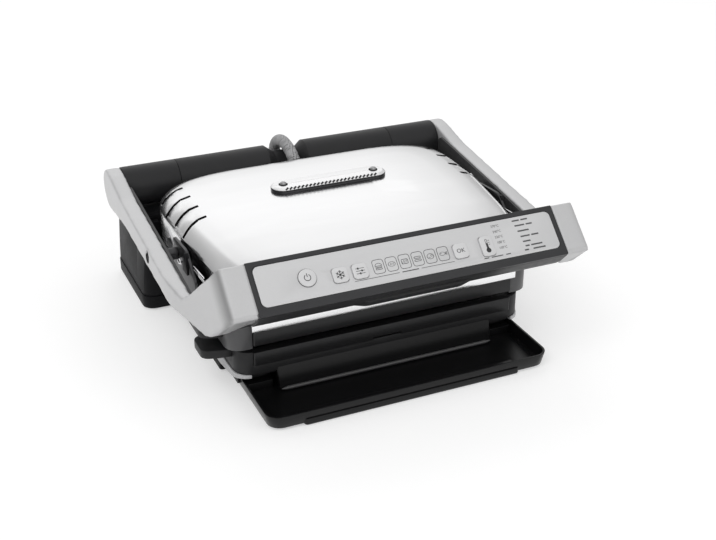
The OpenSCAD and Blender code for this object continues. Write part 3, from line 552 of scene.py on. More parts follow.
class Ink:
    """Flat marks gathered in one mesh in millimetres, then given the thickness of a film.

    Places are counted from the point called at, so a symbol is drawn round its own middle.
    """

    def __init__(self, at: Point = (0.0, 0.0)) -> None:
        """Start with no marks."""
        self.work = bmesh.new()
        self.at = at

    def spot(self, point: Point) -> Vector:
        """Return a mark's place in the mesh."""
        return Vector((self.at[0] + point[0], self.at[1] + point[1], 0.0))

    def draw(self, marks: Marks) -> None:
        """Draw a symbol from its marks, each a method of this class and what it takes."""
        for method, *values in marks:
            method(self, *values)

    def bar(self, start: Point, end: Point, width: float = STROKE) -> None:
        """Draw a straight stroke.

        Args:
            start: Where it starts.
            end: Where it ends.
            width: Its width.
        """
        first, last = self.spot(start), self.spot(end)
        run = last - first
        corners = Slab.square(self.work)
        place = (Matrix.Translation((first + last) / 2)
                 @ Matrix.Rotation(math.atan2(run.y, run.x), 4, "Z")
                 @ Matrix.Diagonal((run.length, width, 1.0, 1.0)))
        bmesh.ops.transform(self.work, matrix=place, verts=corners)

    def arc(self, centre: Point, radius: float, width: float = STROKE, start: float = 0.0,
            sweep: float = 360.0, squash: float = 1.0) -> None:
        """Draw part of a ring.

        Args:
            centre: Its centre.
            radius: The radius of its middle line.
            width: The stroke's width.
            start: The angle where it starts, in degrees.
            sweep: How far it turns, in degrees.
            squash: Its height as a share of its width.
        """
        known = set(self.work.verts)
        ray = Matrix.Rotation(math.radians(start), 4, "Z")
        ends = [self.work.verts.new(ray @ Vector((radius + side * width / 2, 0.0, 0.0))) for side in (-1, 1)]
        edge = self.work.edges.new(ends)
        bmesh.ops.spin(self.work, geom=[*ends, edge], cent=(0.0, 0.0, 0.0), axis=(0.0, 0.0, 1.0),
                       dvec=(0.0, 0.0, 0.0), angle=math.radians(sweep),
                       steps=max(ARC_LEAST, int(sweep / ARC_STEP)), use_merge=sweep >= 360.0,
                       use_duplicate=False)
        place = Matrix.Translation(self.spot(centre)) @ Matrix.Diagonal((1.0, squash, 1.0, 1.0))
        bmesh.ops.transform(self.work, matrix=place, verts=[v for v in self.work.verts if v not in known])

    def patch(self, centre: Point, size: Point, radius: float, width: float = 0.0) -> None:
        """Draw a rounded rectangle, filled or as an outline.

        Args:
            centre: Its centre.
            size: Its width and height.
            radius: Its corners' radius.
            width: The outline's width, or 0 to fill it.
        """
        corners = Slab.square(self.work)
        place = Matrix.Translation(self.spot(centre)) @ Matrix.Diagonal((*size, 1.0, 1.0))
        bmesh.ops.transform(self.work, matrix=place, verts=corners)
        Slab.round_corners(self.work, corners, radius, 5)
        if width:
            self.work.faces.ensure_lookup_table()
            face = self.work.faces[-1]
            bmesh.ops.inset_region(self.work, faces=[face], thickness=width, use_boundary=True,
                                   use_even_offset=True)
            bmesh.ops.delete(self.work, geom=[face], context="FACES_ONLY")

    def write(self, text: str, centre: Point, height: float) -> None:
        """Write plain characters.

        Args:
            text: What to write.
            centre: The middle of the line.
            height: The height of a capital.
        """
        curve = bpy.data.curves.new("characters", "FONT")
        curve.body = text
        curve.align_x = curve.align_y = "CENTER"
        curve.resolution_u = 3
        holder = bpy.data.objects.new("characters", curve)
        mesh = bpy.data.meshes.new_from_object(holder)
        known = len(self.work.verts)
        self.work.from_mesh(mesh)
        self.work.verts.ensure_lookup_table()
        size = height / CAPITAL
        place = Matrix.Translation(self.spot(centre)) @ Matrix.Diagonal((size, size, 1.0, 1.0))
        bmesh.ops.transform(self.work, matrix=place, verts=self.work.verts[known:])
        bpy.data.objects.remove(holder)
        bpy.data.curves.remove(curve)
        bpy.data.meshes.remove(mesh)

    def film(self, place: Matrix, thickness: float) -> BMesh:
        """Thicken the marks and put them in place.

        Args:
            place: From the marks' frame, in millimetres, to the grill's, in metres.
            thickness: The film's thickness in millimetres.

        Returns:
            The finished shape.
        """
        work = self.work
        bmesh.ops.remove_doubles(work, verts=work.verts, dist=MARK_DOUBLES)
        bmesh.ops.recalc_face_normals(work, faces=work.faces)
        bmesh.ops.reverse_faces(work, faces=[f for f in work.faces if f.normal.z < 0])
        bmesh.ops.solidify(work, geom=work.faces[:], thickness=thickness)
        bmesh.ops.recalc_face_normals(work, faces=work.faces)
        bmesh.ops.transform(work, matrix=place, verts=work.verts)
        return work


class Turning:
    """Turned and swept shapes."""

    @staticmethod
    def outward(side: int, spot: Spot) -> Matrix:
        """Give the way from a turned shape in millimetres to a spot on the grill's side."""
        return (Matrix.Translation(spot) @ Matrix.Rotation(math.radians(90 * side), 4, "Y")
                @ Matrix.Scale(MM, 4))

    @staticmethod
    def add(work: BMesh, profile: Sequence[Point], place: Matrix) -> None:
        """Add a shape turned about its own z axis.

        Args:
            work: The mesh to add to, in metres.
            profile: Points as (radius, height) in millimetres, from one end of the axis to the other.
            place: From the shape's frame, in millimetres, to the grill's, in metres.
        """
        known = set(work.verts)
        line = [work.verts.new((r, 0.0, z)) for r, z in profile]
        edges = [work.edges.new(pair) for pair in zip(line, line[1:])]
        bmesh.ops.spin(work, geom=[*line, *edges], cent=(0.0, 0.0, 0.0), axis=(0.0, 0.0, 1.0),
                       dvec=(0.0, 0.0, 0.0), angle=math.tau, steps=TURNED_SIDES, use_merge=True,
                       use_duplicate=False)
        bmesh.ops.remove_doubles(work, verts=[v for v in work.verts if v not in known],
                                 dist=TURNED_DOUBLES)
        new = [v for v in work.verts if v not in known]
        bmesh.ops.recalc_face_normals(work, faces=list({f for v in new for f in v.link_faces}))
        bmesh.ops.transform(work, matrix=place, verts=new)

    @staticmethod
    def sweep(route: list[Vector], radius: float, sides: int, swell: list[float]) -> BMesh:
        """Sweep a ring along a route, with a UV map that runs round it and along it.

        Args:
            route: The centreline in metres.
            radius: The ring's radius in metres.
            sides: How many faces it has round it.
            swell: The ring's size at each point of the route, as a share of the radius.

        Returns:
            The tube, closed at both ends.
        """
        work = bmesh.new()
        ring = bmesh.ops.create_circle(work, cap_ends=False, radius=radius, segments=sides)["verts"]
        edges = list({e for v in ring for e in v.link_edges})
        uv = work.loops.layers.uv.new("length")
        bands: list[tuple[list[BMFace], float]] = []
        before = Matrix.Identity(4)
        travel = 0.0
        for index, point in enumerate(route):
            ahead = (route[min(index + 1, len(route) - 1)] - route[max(index - 1, 0)]).normalized()
            beside = Vector((0.0, 1.0, 0.0)) if abs(ahead.x) > 0.7 else Vector((1.0, 0.0, 0.0))
            up = ahead.cross(beside).normalized()
            basis = Matrix((up.cross(ahead), up, ahead)).transposed().to_4x4()
            here = Matrix.Translation(point) @ basis @ Matrix.Scale(swell[index], 4)
            if index:
                travel += (point - route[index - 1]).length
                made = bmesh.ops.extrude_edge_only(work, edges=edges)["geom"]
                ring = [v for v in made if isinstance(v, BMVert)]
                rim = set(ring)
                edges = [e for e in made if isinstance(e, BMEdge) and all(v in rim for v in e.verts)]
                bands.append(([f for f in made if isinstance(f, BMFace)], travel))
            bmesh.ops.transform(work, matrix=here @ before.inverted(), verts=ring)
            before = here
        Turning._unroll(bands, uv, sides)
        bmesh.ops.holes_fill(work, edges=[e for e in work.edges if e.is_boundary], sides=sides)
        bmesh.ops.recalc_face_normals(work, faces=work.faces)
        return work

    @staticmethod
    def _unroll(bands: list[tuple[list[BMFace], float]], uv: BMLayerItem, sides: int) -> None:
        """Lay the tube's faces out flat: u runs round it once, and v along it in metres.

        Args:
            bands: Each band of faces, with the length of the tube up to its far edge.
            uv: The UV layer.
            sides: How many faces a band has.
        """
        start = 0.0
        for faces, end in bands:
            faces.sort(key=lambda f: f.index)
            for number, face in enumerate(faces):
                for corner, loop in enumerate(face.loops):
                    u = (number + (corner in (1, 2))) / sides
                    loop[uv].uv = (u, end if corner >= 2 else start)
            start = end


# ---- studio


@dataclass
class Studio:
    """Camera, lamps, backdrop and floor."""

    eye: Spot = (-0.4013, -0.9514, 0.5646)
    heading: float = -24.0
    dip: float = 26.7
    focal_px: float = 1195.1
    width_px: float = 716.0
    sensor: float = 36.0
    sky: float = 0.62
    across: tuple[Point, ...] = ((0.0, 0.5), (0.18, 0.55), (0.24, 0.64), (0.32, 1.05), (0.6, 1.12),
                                 (0.69, 1.12), (0.75, 0.92), (0.8, 0.72), (1.0, 0.6))
    upward: tuple[Point, ...] = ((0.0, 0.5), (0.5, 0.62), (0.6, 0.8), (0.66, 0.92), (0.71, 1.0),
                                 (0.76, 1.0), (0.82, 0.94), (0.9, 0.86), (1.0, 0.8))
    floor_size: float = 12.0
    floor_tone: tuple[float, ...] = (0.62, 0.62, 0.62, 1.0)
    floor_glow: float = 0.45
    target: Spot = (0.0, 0.0, 0.06)
    lamps: tuple[tuple[str, Spot, float, float], ...] = (
        ("key", (-1.4, -1.0, 2.2), 1.6, 22.0), ("fill", (1.6, -1.6, 1.5), 1.8, 9.0),
        ("rim", (0.3, 1.8, 1.8), 1.6, 10.0))

    def build(self) -> None:
        """Make the whole studio."""
        self.set_camera()
        self.set_world()
        self.lay_floor()
        for lamp in self.lamps:
            self.hang_lamp(*lamp)
        bpy.context.scene.view_settings.view_transform = "Standard"

    def set_camera(self) -> None:
        """Aim the camera from the front left and above."""
        lens = bpy.data.cameras.new("camera")
        lens.sensor_width = self.sensor
        lens.lens = self.focal_px / self.width_px * self.sensor
        lens.clip_start = 0.05
        camera = bpy.data.objects.new("camera", lens)
        camera.location = self.eye
        camera.rotation_euler = (math.radians(90 - self.dip), 0.0, math.radians(self.heading))
        bpy.context.scene.collection.objects.link(camera)
        bpy.context.scene.camera = camera

    def set_world(self) -> None:
        """Light evenly from all round, show white behind the grill and let metal mirror a room."""
        world = bpy.data.worlds.new("studio")
        nodes = Nodes(world)
        light = nodes.tree.nodes["Background"]
        nodes.fill(light, {"Color": WHITE, "Strength": self.sky})
        backdrop = nodes.add("MixShader", 0, {
            "Fac": nodes.add("LightPath", "Is Glossy Ray"),
            1: nodes.add("Background", 0, {"Color": WHITE}),
            2: nodes.add("Background", 0, {"Color": self.room_tone(nodes)})})
        mix = nodes.add("MixShader", 0, {"Fac": self.seen(nodes), 1: light.outputs[0], 2: backdrop})
        nodes.fill(nodes.tree.nodes["World Output"], {"Surface": mix})
        bpy.context.scene.world = world

    def room_tone(self, nodes: Nodes) -> NodeSocket:
        """Make the room that metal mirrors: white ahead and above, greyer to both sides.

        Args:
            nodes: The world's nodes.

        Returns:
            The tone's colour socket.
        """
        way = nodes.add("SeparateXYZ", "X", {"Vector": nodes.add("TexCoord", "Generated")}).node
        tones = []
        for axis, marks in (("X", self.across), ("Z", self.upward)):
            share = nodes.add("MapRange", "Result", {
                "Value": way.outputs[axis], "From Min": -1.0, "From Max": 1.0})
            tones.append(nodes.ramp(share, [(at, (tone, tone, tone)) for at, tone in marks], "EASE"))
        return nodes.add("Mix", 2, {0: 1.0, 6: tones[0], 7: tones[1]}, data_type="RGBA",
                         blend_type="MULTIPLY")

    @staticmethod
    def seen(nodes: Nodes) -> NodeSocket:
        """Return 1 for camera, glossy and transmission rays, and 0 for those that only light."""
        path = nodes.add("LightPath", "Is Camera Ray").node
        direct = nodes.math("MAXIMUM", path.outputs["Is Camera Ray"], path.outputs["Is Glossy Ray"])
        return nodes.math("MAXIMUM", direct, path.outputs["Is Transmission Ray"])

    def lay_floor(self) -> None:
        """Lay a white floor that keeps a soft shadow."""
        work = bmesh.new()
        bmesh.ops.create_grid(work, x_segments=1, y_segments=1, size=self.floor_size / 2)
        material = bpy.data.materials.new("studio_floor")
        nodes = Nodes(material)
        nodes.fill(nodes.tree.nodes["Principled BSDF"], {
            "Base Color": self.floor_tone, "Roughness": 0.9, "Specular IOR Level": 0.1,
            "Emission Color": WHITE,
            "Emission Strength": nodes.math("MULTIPLY", self.seen(nodes), self.floor_glow)})
        Workshop.put("floor", work, material)

    def hang_lamp(self, name: str, at: Spot, size: float, power: float) -> None:
        """Hang a square soft lamp that faces the grill.

        Args:
            name: The lamp's name.
            at: Its place in metres.
            size: Its side in metres.
            power: Its power in watts.
        """
        light = bpy.data.lights.new(name, "AREA")
        light.size = size
        light.energy = power
        lamp = bpy.data.objects.new(name, light)
        lamp.location = at
        lamp.visible_glossy = False
        lamp.rotation_euler = (Vector(self.target) - Vector(at)).to_track_quat("-Z", "Y").to_euler()
        bpy.context.scene.collection.objects.link(lamp)


# ---- the control panel

# A symbol's marks: millimetres from its own middle.
BUN = ((Ink.arc, (0.0, 0.6), 2.9, STROKE, 0.0, 180.0, 0.8), (Ink.bar, (-3.1, 0.5), (3.1, 0.5)),
       (Ink.bar, (-3.0, -0.6), (3.0, -0.6)), (Ink.patch, (0.0, -2.0), (5.8, 1.6), 0.6, STROKE))
FILLET = ((Ink.arc, (0.0, 0.0), 3.1, STROKE, 0.0, 360.0, 0.66),
          *((Ink.bar, (x - 0.5, -0.9), (x + 0.3, 0.9), 0.3) for x in (-1.1, 0.2, 1.5)))
TOAST = ((Ink.patch, (0.0, 0.0), (6.0, 4.4), 1.0, STROKE),
         *((Ink.bar, (x - 0.9, -1.3), (x + 0.9, 1.3), 0.3) for x in (-1.4, 0.0, 1.4)))
SAUSAGES = tuple((Ink.patch, (0.0, y), (6.2, 1.9), 0.9, STROKE) for y in (1.3, -1.3))
STEAK = ((Ink.arc, (0.0, 0.0), 3.0, STROKE, 0.0, 360.0, 0.78), (Ink.arc, (1.2, 0.5), 0.8, 0.3),
         (Ink.bar, (-1.9, -0.7), (-0.1, -1.1), 0.3))
FISH = ((Ink.arc, (-0.6, 0.0), 2.5, STROKE, 0.0, 360.0, 0.6), (Ink.bar, (1.8, 0.0), (3.4, 1.3)),
        (Ink.bar, (1.8, 0.0), (3.4, -1.3)), (Ink.bar, (3.4, -1.4), (3.4, 1.4)),
        (Ink.arc, (-1.9, 0.4), 0.25, 0.25))
POWER = ((Ink.arc, (0.0, 0.0), 2.7, 0.6, 122.0, 296.0), (Ink.bar, (0.0, 0.6), (0.0, 3.6), 0.6))
SLIDERS = tuple(mark for row, knob in ((2.2, -1.6), (0.0, 1.5), (-2.2, -0.4)) for mark in (
    (Ink.bar, (-3.8, row), (3.8, row)), (Ink.patch, (knob, row), (1.2, 1.7), 0.3)))
THERMOMETER = ((Ink.patch, (0.0, 1.6), (1.9, 9.0), 0.9, 0.4), (Ink.bar, (0.0, -2.0), (0.0, 2.6), 0.9),
               (Ink.arc, (0.0, -4.0), 1.1, 2.2),
               *((Ink.bar, (1.7, y), (3.0, y), 0.4) for y in (1.0, 2.8, 4.6)))
RAYS = [Matrix.Rotation(math.radians(60 * turn + 30), 2) @ Vector((1.0, 0.0)) for turn in range(6)]
TWIGS = [Matrix.Rotation(math.radians(lean), 2) for lean in (-55, 55)]
CRYSTAL = [mark for ray in RAYS for mark in (
    (Ink.bar, (0.0, 0.0), ray * 4.0, 0.6),
    *((Ink.bar, ray * 2.2, ray * 2.2 + (twig @ ray) * 1.5, 0.5) for twig in TWIGS))]


@dataclass
class Panel:
    """What the sloping panel shows. Lengths are millimetres on the panel, from its middle."""

    centre: Spot = (0.0, -0.16297, 0.13105)
    tilt: float = 43.3
    insert_face: float = -0.2
    key_face: float = 0.9
    film: float = 0.08
    box_first: float = -32.2
    box_pitch: float = 11.82
    box_y: float = -1.0
    box_size: Point = (10.2, 12.6)
    degrees: tuple[int, ...] = (270, 240, 220, 180, 150)
    degrees_x: float = 81.5
    marks: tuple[tuple[float, float, tuple[float, ...]], ...] = (
        (99.0, 15.4, (7.0, 6.5)), (100.0, 10.7, (9.5, 6.0)), (101.0, 5.5, (11.0,)),
        (102.0, 0.4, (9.0, 7.0)), (102.5, -4.4, (7.5,)), (103.5, -8.6, (4.0, 11.0)),
        (101.5, -12.2, (4.0,)), (110.0, -12.2, (12.0,)))
    rules: tuple[tuple[float, float, float, float], ...] = (
        (-55.8, -16.0, -9.6, 0.4), (4.0, 34.8, -9.6, 0.4), (-13.5, 1.5, -9.6, 0.8),
        (62.0, 66.5, -12.6, 0.85), (69.0, 80.0, -12.6, 0.85), (83.0, 87.5, -12.6, 0.85))
    foods: tuple[Marks, ...] = (BUN, FILLET, TOAST, SAUSAGES, STEAK, FISH)
    prints: tuple[tuple[str, Finish, str, Point, Marks], ...] = (
        ("power_print", PRINT_BLACK, "button_power", (-94.0, 1.3), POWER),
        ("power_groove", PRINT_GREY, "", (-94.0, 1.3), ((Ink.arc, (0.0, 0.0), 7.75, 0.5),)),
        ("frozen_print", PRINT_BLACK, "button_frozen", (-66.5, -1.8), CRYSTAL),
        ("manual_print", PRINT_BLACK, "button_manual", (-49.0, -1.8), SLIDERS),
        ("ok_print", PRINT_BLACK, "button_ok", (43.0, -1.8), ((Ink.write, "OK", (0.0, 0.0), 3.6),)),
        ("heat_print", PRINT_BLACK, "button_heat", (68.2, -2.2), THERMOMETER))

    def place(self, height: float) -> Matrix:
        """Give the way from marks in millimetres to the grill's frame, at a height on the panel."""
        return (Matrix.Translation(self.centre) @ Matrix.Rotation(math.radians(self.tilt), 4, "X")
                @ Matrix.Translation((0.0, 0.0, (height + self.film) * MM)) @ Matrix.Scale(MM, 4))

    def build(self) -> None:
        """Print the insert and the keys."""
        self.print_boxes()
        self.print_scales()
        for name, finish, key, at, marks in self.prints:
            ink = Ink(at)
            ink.draw(marks)
            self.lay(name, ink, finish, key)

    def lay(self, name: str, ink: Ink, finish: Finish, key: str = "") -> None:
        """Turn marks into a piece on a raised key, or on the insert if no key is named.

        Args:
            name: The piece's name.
            ink: The marks.
            finish: Their finish.
            key: The key's body.
        """
        height = self.key_face if key else self.insert_face
        Workshop.fix(name, ink.film(self.place(height), self.film), key or "yoke", finish,
                     "key_grey" if key else "panel_grey")

    def print_boxes(self) -> None:
        """Print the six programme boxes, each with its food symbol."""
        ink = Ink()
        for number, food in enumerate(self.foods):
            ink.at = (self.box_first + number * self.box_pitch, self.box_y)
            ink.patch((0.0, 0.0), self.box_size, 2.6, STROKE)
            ink.draw(food)
        self.lay("programme_print", ink, PRINT_BLACK)

    def print_scales(self) -> None:
        """Print the temperatures, the plain marks beside them and the rules under the boxes."""
        ink = Ink()
        for row, degrees in enumerate(self.degrees):
            ink.write(f"{degrees}°C", (self.degrees_x + 0.3 * row, 14.0 - 5.0 * row), 2.1)
        for start, y, lengths in self.marks:
            for length in lengths:
                ink.bar((start, y), (start + length, y), 1.25)
                start += length + 1.6
        for first, last, y, width in self.rules:
            ink.bar((first, y), (last, y), width)
        self.lay("scale_print", ink, PRINT_GREY)


# ---- the arms


@dataclass
class Arm:
    """A silver arm, rounded all over as the moulded one is, with its pivot cap. Lengths in metres."""

    side: int
    grain: float = 0.0019
    snap: float = 0.0002
    passes: int = 7
    seam: float = 0.1425
    pivot: Point = (-0.005, 0.097)
    bore: float = 0.0075
    outside: float = 0.25
    outmost: float = 0.1846
    cap: tuple[Point, ...] = ((0.0, -1.2), (4.9, -1.2), (4.9, 0.1), (4.4, 0.35), (3.7, 0.2),
                              (3.4, -0.3), (0.0, -0.3))

    def build(self) -> None:
        """Build the arm and the cap on its pivot."""
        node = "left_arm" if self.side < 0 else "right_arm"
        work = Workshop.node_bmesh(node)
        self.slice(work)
        free = [v for v in work.verts if abs(v.co.x) > self.seam]
        for _ in range(self.passes):
            bmesh.ops.smooth_vert(work, verts=free, factor=0.5, use_axis_x=True, use_axis_y=True,
                                  use_axis_z=True)
        place = Turning.outward(self.side, (self.side * self.depth(work), *self.pivot))
        Workshop.fix(f"{node}_body", work, "yoke", ARM_SILVER, "satin_silver", (node,), 50.0)
        cap = bmesh.new()
        Turning.add(cap, self.cap, place)
        Workshop.fix(f"{node}_pivot_cap", cap, "yoke", BLOCK_BLACK, "black_shell")

    def slice(self, work: BMesh) -> None:
        """Cut the arm into an even grid of triangles, so that smoothing rounds it evenly.

        Args:
            work: The arm.
        """
        low, high = ([pick(v.co[axis] for v in work.verts) for axis in range(3)] for pick in (min, max))
        for axis in (1, 2, 0):
            count = int((high[axis] - low[axis]) / self.grain)
            way = Vector([float(axis == other) for other in range(3)])
            for cut in range(1, count):
                bmesh.ops.bisect_plane(work, geom=work.verts[:] + work.edges[:] + work.faces[:],
                                       dist=self.snap, plane_no=way,
                                       plane_co=way * (low[axis] + (high[axis] - low[axis]) * cut / count))
        bmesh.ops.triangulate(work, faces=work.faces[:])

    def depth(self, work: BMesh) -> float:
        """Find how far out the arm's face lies round the pivot's bore.

        Args:
            work: The arm.

        Returns:
            Its mean distance from the middle of the grill.
        """
        skin = BVHTree.FromBMesh(work)
        inward = Vector((-self.side, 0.0, 0.0))
        start = Vector((self.side * self.outside, *self.pivot))
        hits = [skin.ray_cast(start + Vector((0.0, y, z)), inward)[0]
                for y, z in ((self.bore, 0.0), (-self.bore, 0.0), (0.0, self.bore), (0.0, -self.bore))]
        reach = [abs(hit.x) for hit in hits if hit]
        return min(self.outmost, sum(reach) / max(1, len(reach)))


@dataclass
class BracketTrim:
    """The fittings between the lid and one arm: a catch, a dome nut and bright edges.

    Lengths are millimetres. Points are (y from the hinge line, z).
    """

    side: int
    plane: float = 158.0
    catch: tuple[Point, ...] = ((-163.5, 90.5), (-171.5, 110.0), (-176.0, 111.0), (-178.0, 108.0),
                                (-178.0, 90.5))
    strip: tuple[Point, ...] = ((-113.0, 110.0), (-114.0, 111.4), (-136.0, 102.4), (-135.0, 100.6))
    box: tuple[Point, ...] = ((-110.0, 90.0), (-110.0, 97.5), (-150.0, 100.5), (-152.0, 98.0),
                              (-152.0, 90.0))
    rail_high: tuple[Point, ...] = ((-184.0, 101.0), (-184.0, 102.6), (-214.0, 104.6), (-214.0, 103.0))
    rail_low: tuple[Point, ...] = ((-184.0, 97.6), (-184.0, 99.2), (-214.0, 101.2), (-214.0, 99.6))
    nut_at: Point = (-156.5, 95.0)
    nut: tuple[Point, ...] = ((0.0, -0.5), (3.4, -0.5), (3.4, 0.7), (2.7, 0.9), (2.5, 1.8), (1.7, 2.6),
                              (0.0, 2.9))

    def build(self) -> None:
        """Build the fittings on the lid."""
        tag = "left" if self.side < 0 else "right"
        for name, outline, out, thick, finish, slot in (
                ("catch", self.catch, 1.0, 3.0, BLOCK_BLACK, "black_shell"),
                ("strip", self.strip, 0.0, 2.0, SHEET_ALUMINIUM, "bright_metal"),
                ("carrier", self.box, -0.6, 3.0, BLOCK_BLACK, "black_shell"),
                ("rail_high", self.rail_high, -3.0, 1.2, BRIGHT_STEEL, "bright_metal"),
                ("rail_low", self.rail_low, -3.0, 1.2, BRIGHT_STEEL, "bright_metal")):
            Workshop.fix(f"{tag}_{name}", self.cut(outline, self.plane + out, thick), "lid", finish, slot)
        nut = bmesh.new()
        at = (self.side * self.plane * MM, HINGE_Y + self.nut_at[0] * MM, self.nut_at[1] * MM)
        Turning.add(nut, self.nut, Turning.outward(self.side, at))
        Workshop.fix(f"{tag}_nut", nut, "lid", BRIGHT_STEEL, "bright_metal")

    def cut(self, outline: tuple[Point, ...], out: float, thick: float) -> BMesh:
        """Cut a plate that stands along the lid's side.

        Args:
            outline: Its corners.
            out: Its outer face's distance from the middle of the grill.
            thick: Its thickness.

        Returns:
            The plate in metres.
        """
        work = bmesh.new()
        corners = [work.verts.new((self.side * (out - thick), y, z)) for y, z in outline]
        bmesh.ops.contextual_create(work, geom=corners)
        Slab.round_corners(work, corners, 0.5, 3)
        Slab.lift(work, (self.side * thick, 0.0, 0.0))
        Workshop.soften(work, 0.25, 40.0)
        bmesh.ops.transform(work, matrix=FROM_HINGE, verts=work.verts)
        return work


# ---- the drip tray


@dataclass
class DripTray:
    """The tray: a drafted dish with round front corners, stepped rear decks and a grip under its front.

    Lengths are millimetres, and y is measured from the hinge line.
    """

    half: float = 134.4
    front: float = -311.9
    rear: float = -206.2
    low: float = 2.6
    top: float = 14.0
    draft: float = 2.0
    rim: float = 1.9
    floor: float = 3.7
    corner: float = 12.0
    grip_half: float = 103.0
    grip_depth: float = 16.0
    rear_band: float = 8.0
    rear_rise: float = 0.5
    deck_inner: float = 107.0
    deck_steps: tuple[Point, ...] = ((-247.5, 11.0), (-238.0, 13.5))

    def build(self) -> None:
        """Build the tray in the node's place."""
        work = bmesh.new()
        Slab.join(work, self.dish(), 0.45, 30.0)
        grip = Slab.plate((-self.grip_half, self.grip_half),
                          (self.front + 0.1, self.front + self.grip_depth), 0.9, 3.0, 3.0)
        Slab.lift(grip, (0.0, 0.0, self.low + 3.4), 0.05)
        Slab.join(work, grip, 0.8)
        for side in (-1, 1):
            for start, height in self.deck_steps:
                across = sorted((side * self.deck_inner, side * (self.half - self.rim - 1.6)))
                deck = Slab.plate(tuple(across), (start, self.rear - 0.8), self.low + 0.4, 1.2, 1.2)
                Slab.lift(deck, (0.0, 0.0, height - self.low - 0.4))
                Slab.join(work, deck, 0.6)
        Workshop.fix("tray_shell", work, "tray", GLOSS_BLACK, "gloss_black", ("drip_tray",))

    def dish(self) -> BMesh:
        """Make the dish with its rim and its low rear wall.

        Returns:
            The dish in millimetres.
        """
        work = Slab.plate((-self.half + self.draft, self.half - self.draft),
                          (self.front + self.draft, self.rear - self.draft), self.low, self.corner, 3.0)
        top = Slab.lift(work, (0.0, 0.0, self.top - self.low), self.draft)
        bmesh.ops.inset_region(work, faces=[top], thickness=self.rim, use_even_offset=True)
        bmesh.ops.inset_region(work, faces=[top], thickness=1.5, depth=self.floor - self.top,
                               use_even_offset=True)
        for edge in (self.deck_inner, self.deck_inner + 0.8):
            for side in (-1, 1):
                bmesh.ops.bisect_plane(work, geom=work.verts[:] + work.edges[:] + work.faces[:], dist=0.0001,
                                       plane_co=(side * edge, 0.0, 0.0), plane_no=(1.0, 0.0, 0.0))
        middle = (self.floor + self.top) / 2
        for vert in work.verts:
            if (abs(vert.co.x) < self.deck_inner + 0.01 and vert.co.y > self.rear - self.rear_band
                    and vert.co.z > middle):
                vert.co.z = self.floor + self.rear_rise
        bmesh.ops.recalc_face_normals(work, faces=work.faces)
        return work


@dataclass
class DrainWall:
    """The drain wall that leads fat into the tray, with a rolled lip. Millimetres, y from the hinge line."""

    half: float = 105.0
    top: float = 29.0
    low: float = 5.6
    back: float = -244.0
    face: float = -249.5
    lean: float = 7.8
    lip: float = 1.7
    steps: int = 40
    tips: tuple[float, ...] = (0.25, 0.9860133)

    def build(self) -> None:
        """Build the wall and its lip in the node's place."""
        work = bmesh.new()
        wall = Slab.plate((-self.half, self.half), (self.face, self.back), self.top, 1.6, 0.6)
        Slab.lift(wall, (0.0, -self.lean, self.low - self.top))
        Slab.join(work, wall, 0.5)
        y = (self.face - self.lean - 0.6) * MM + HINGE_Y
        z = (self.low + 0.3) * MM
        reach = (self.half - 1.6) * MM
        route = [Vector((reach * (2 * step / self.steps - 1), y, z)) for step in range(self.steps + 1)]
        swell = [*self.tips, *[1.0] * (self.steps - 3), *reversed(self.tips)]
        # painted highlight: the lip takes a lighter black than the wall
        Workshop.fix("drain_lip", Turning.sweep(route, self.lip * MM, 14, swell), "base", LIP_HIGHLIGHT_BLACK,
                     "gloss_black")
        Workshop.fix("drain_wall", work, "base", GLOSS_BLACK, "gloss_black", ("drain_apron",))


# ---- the lid


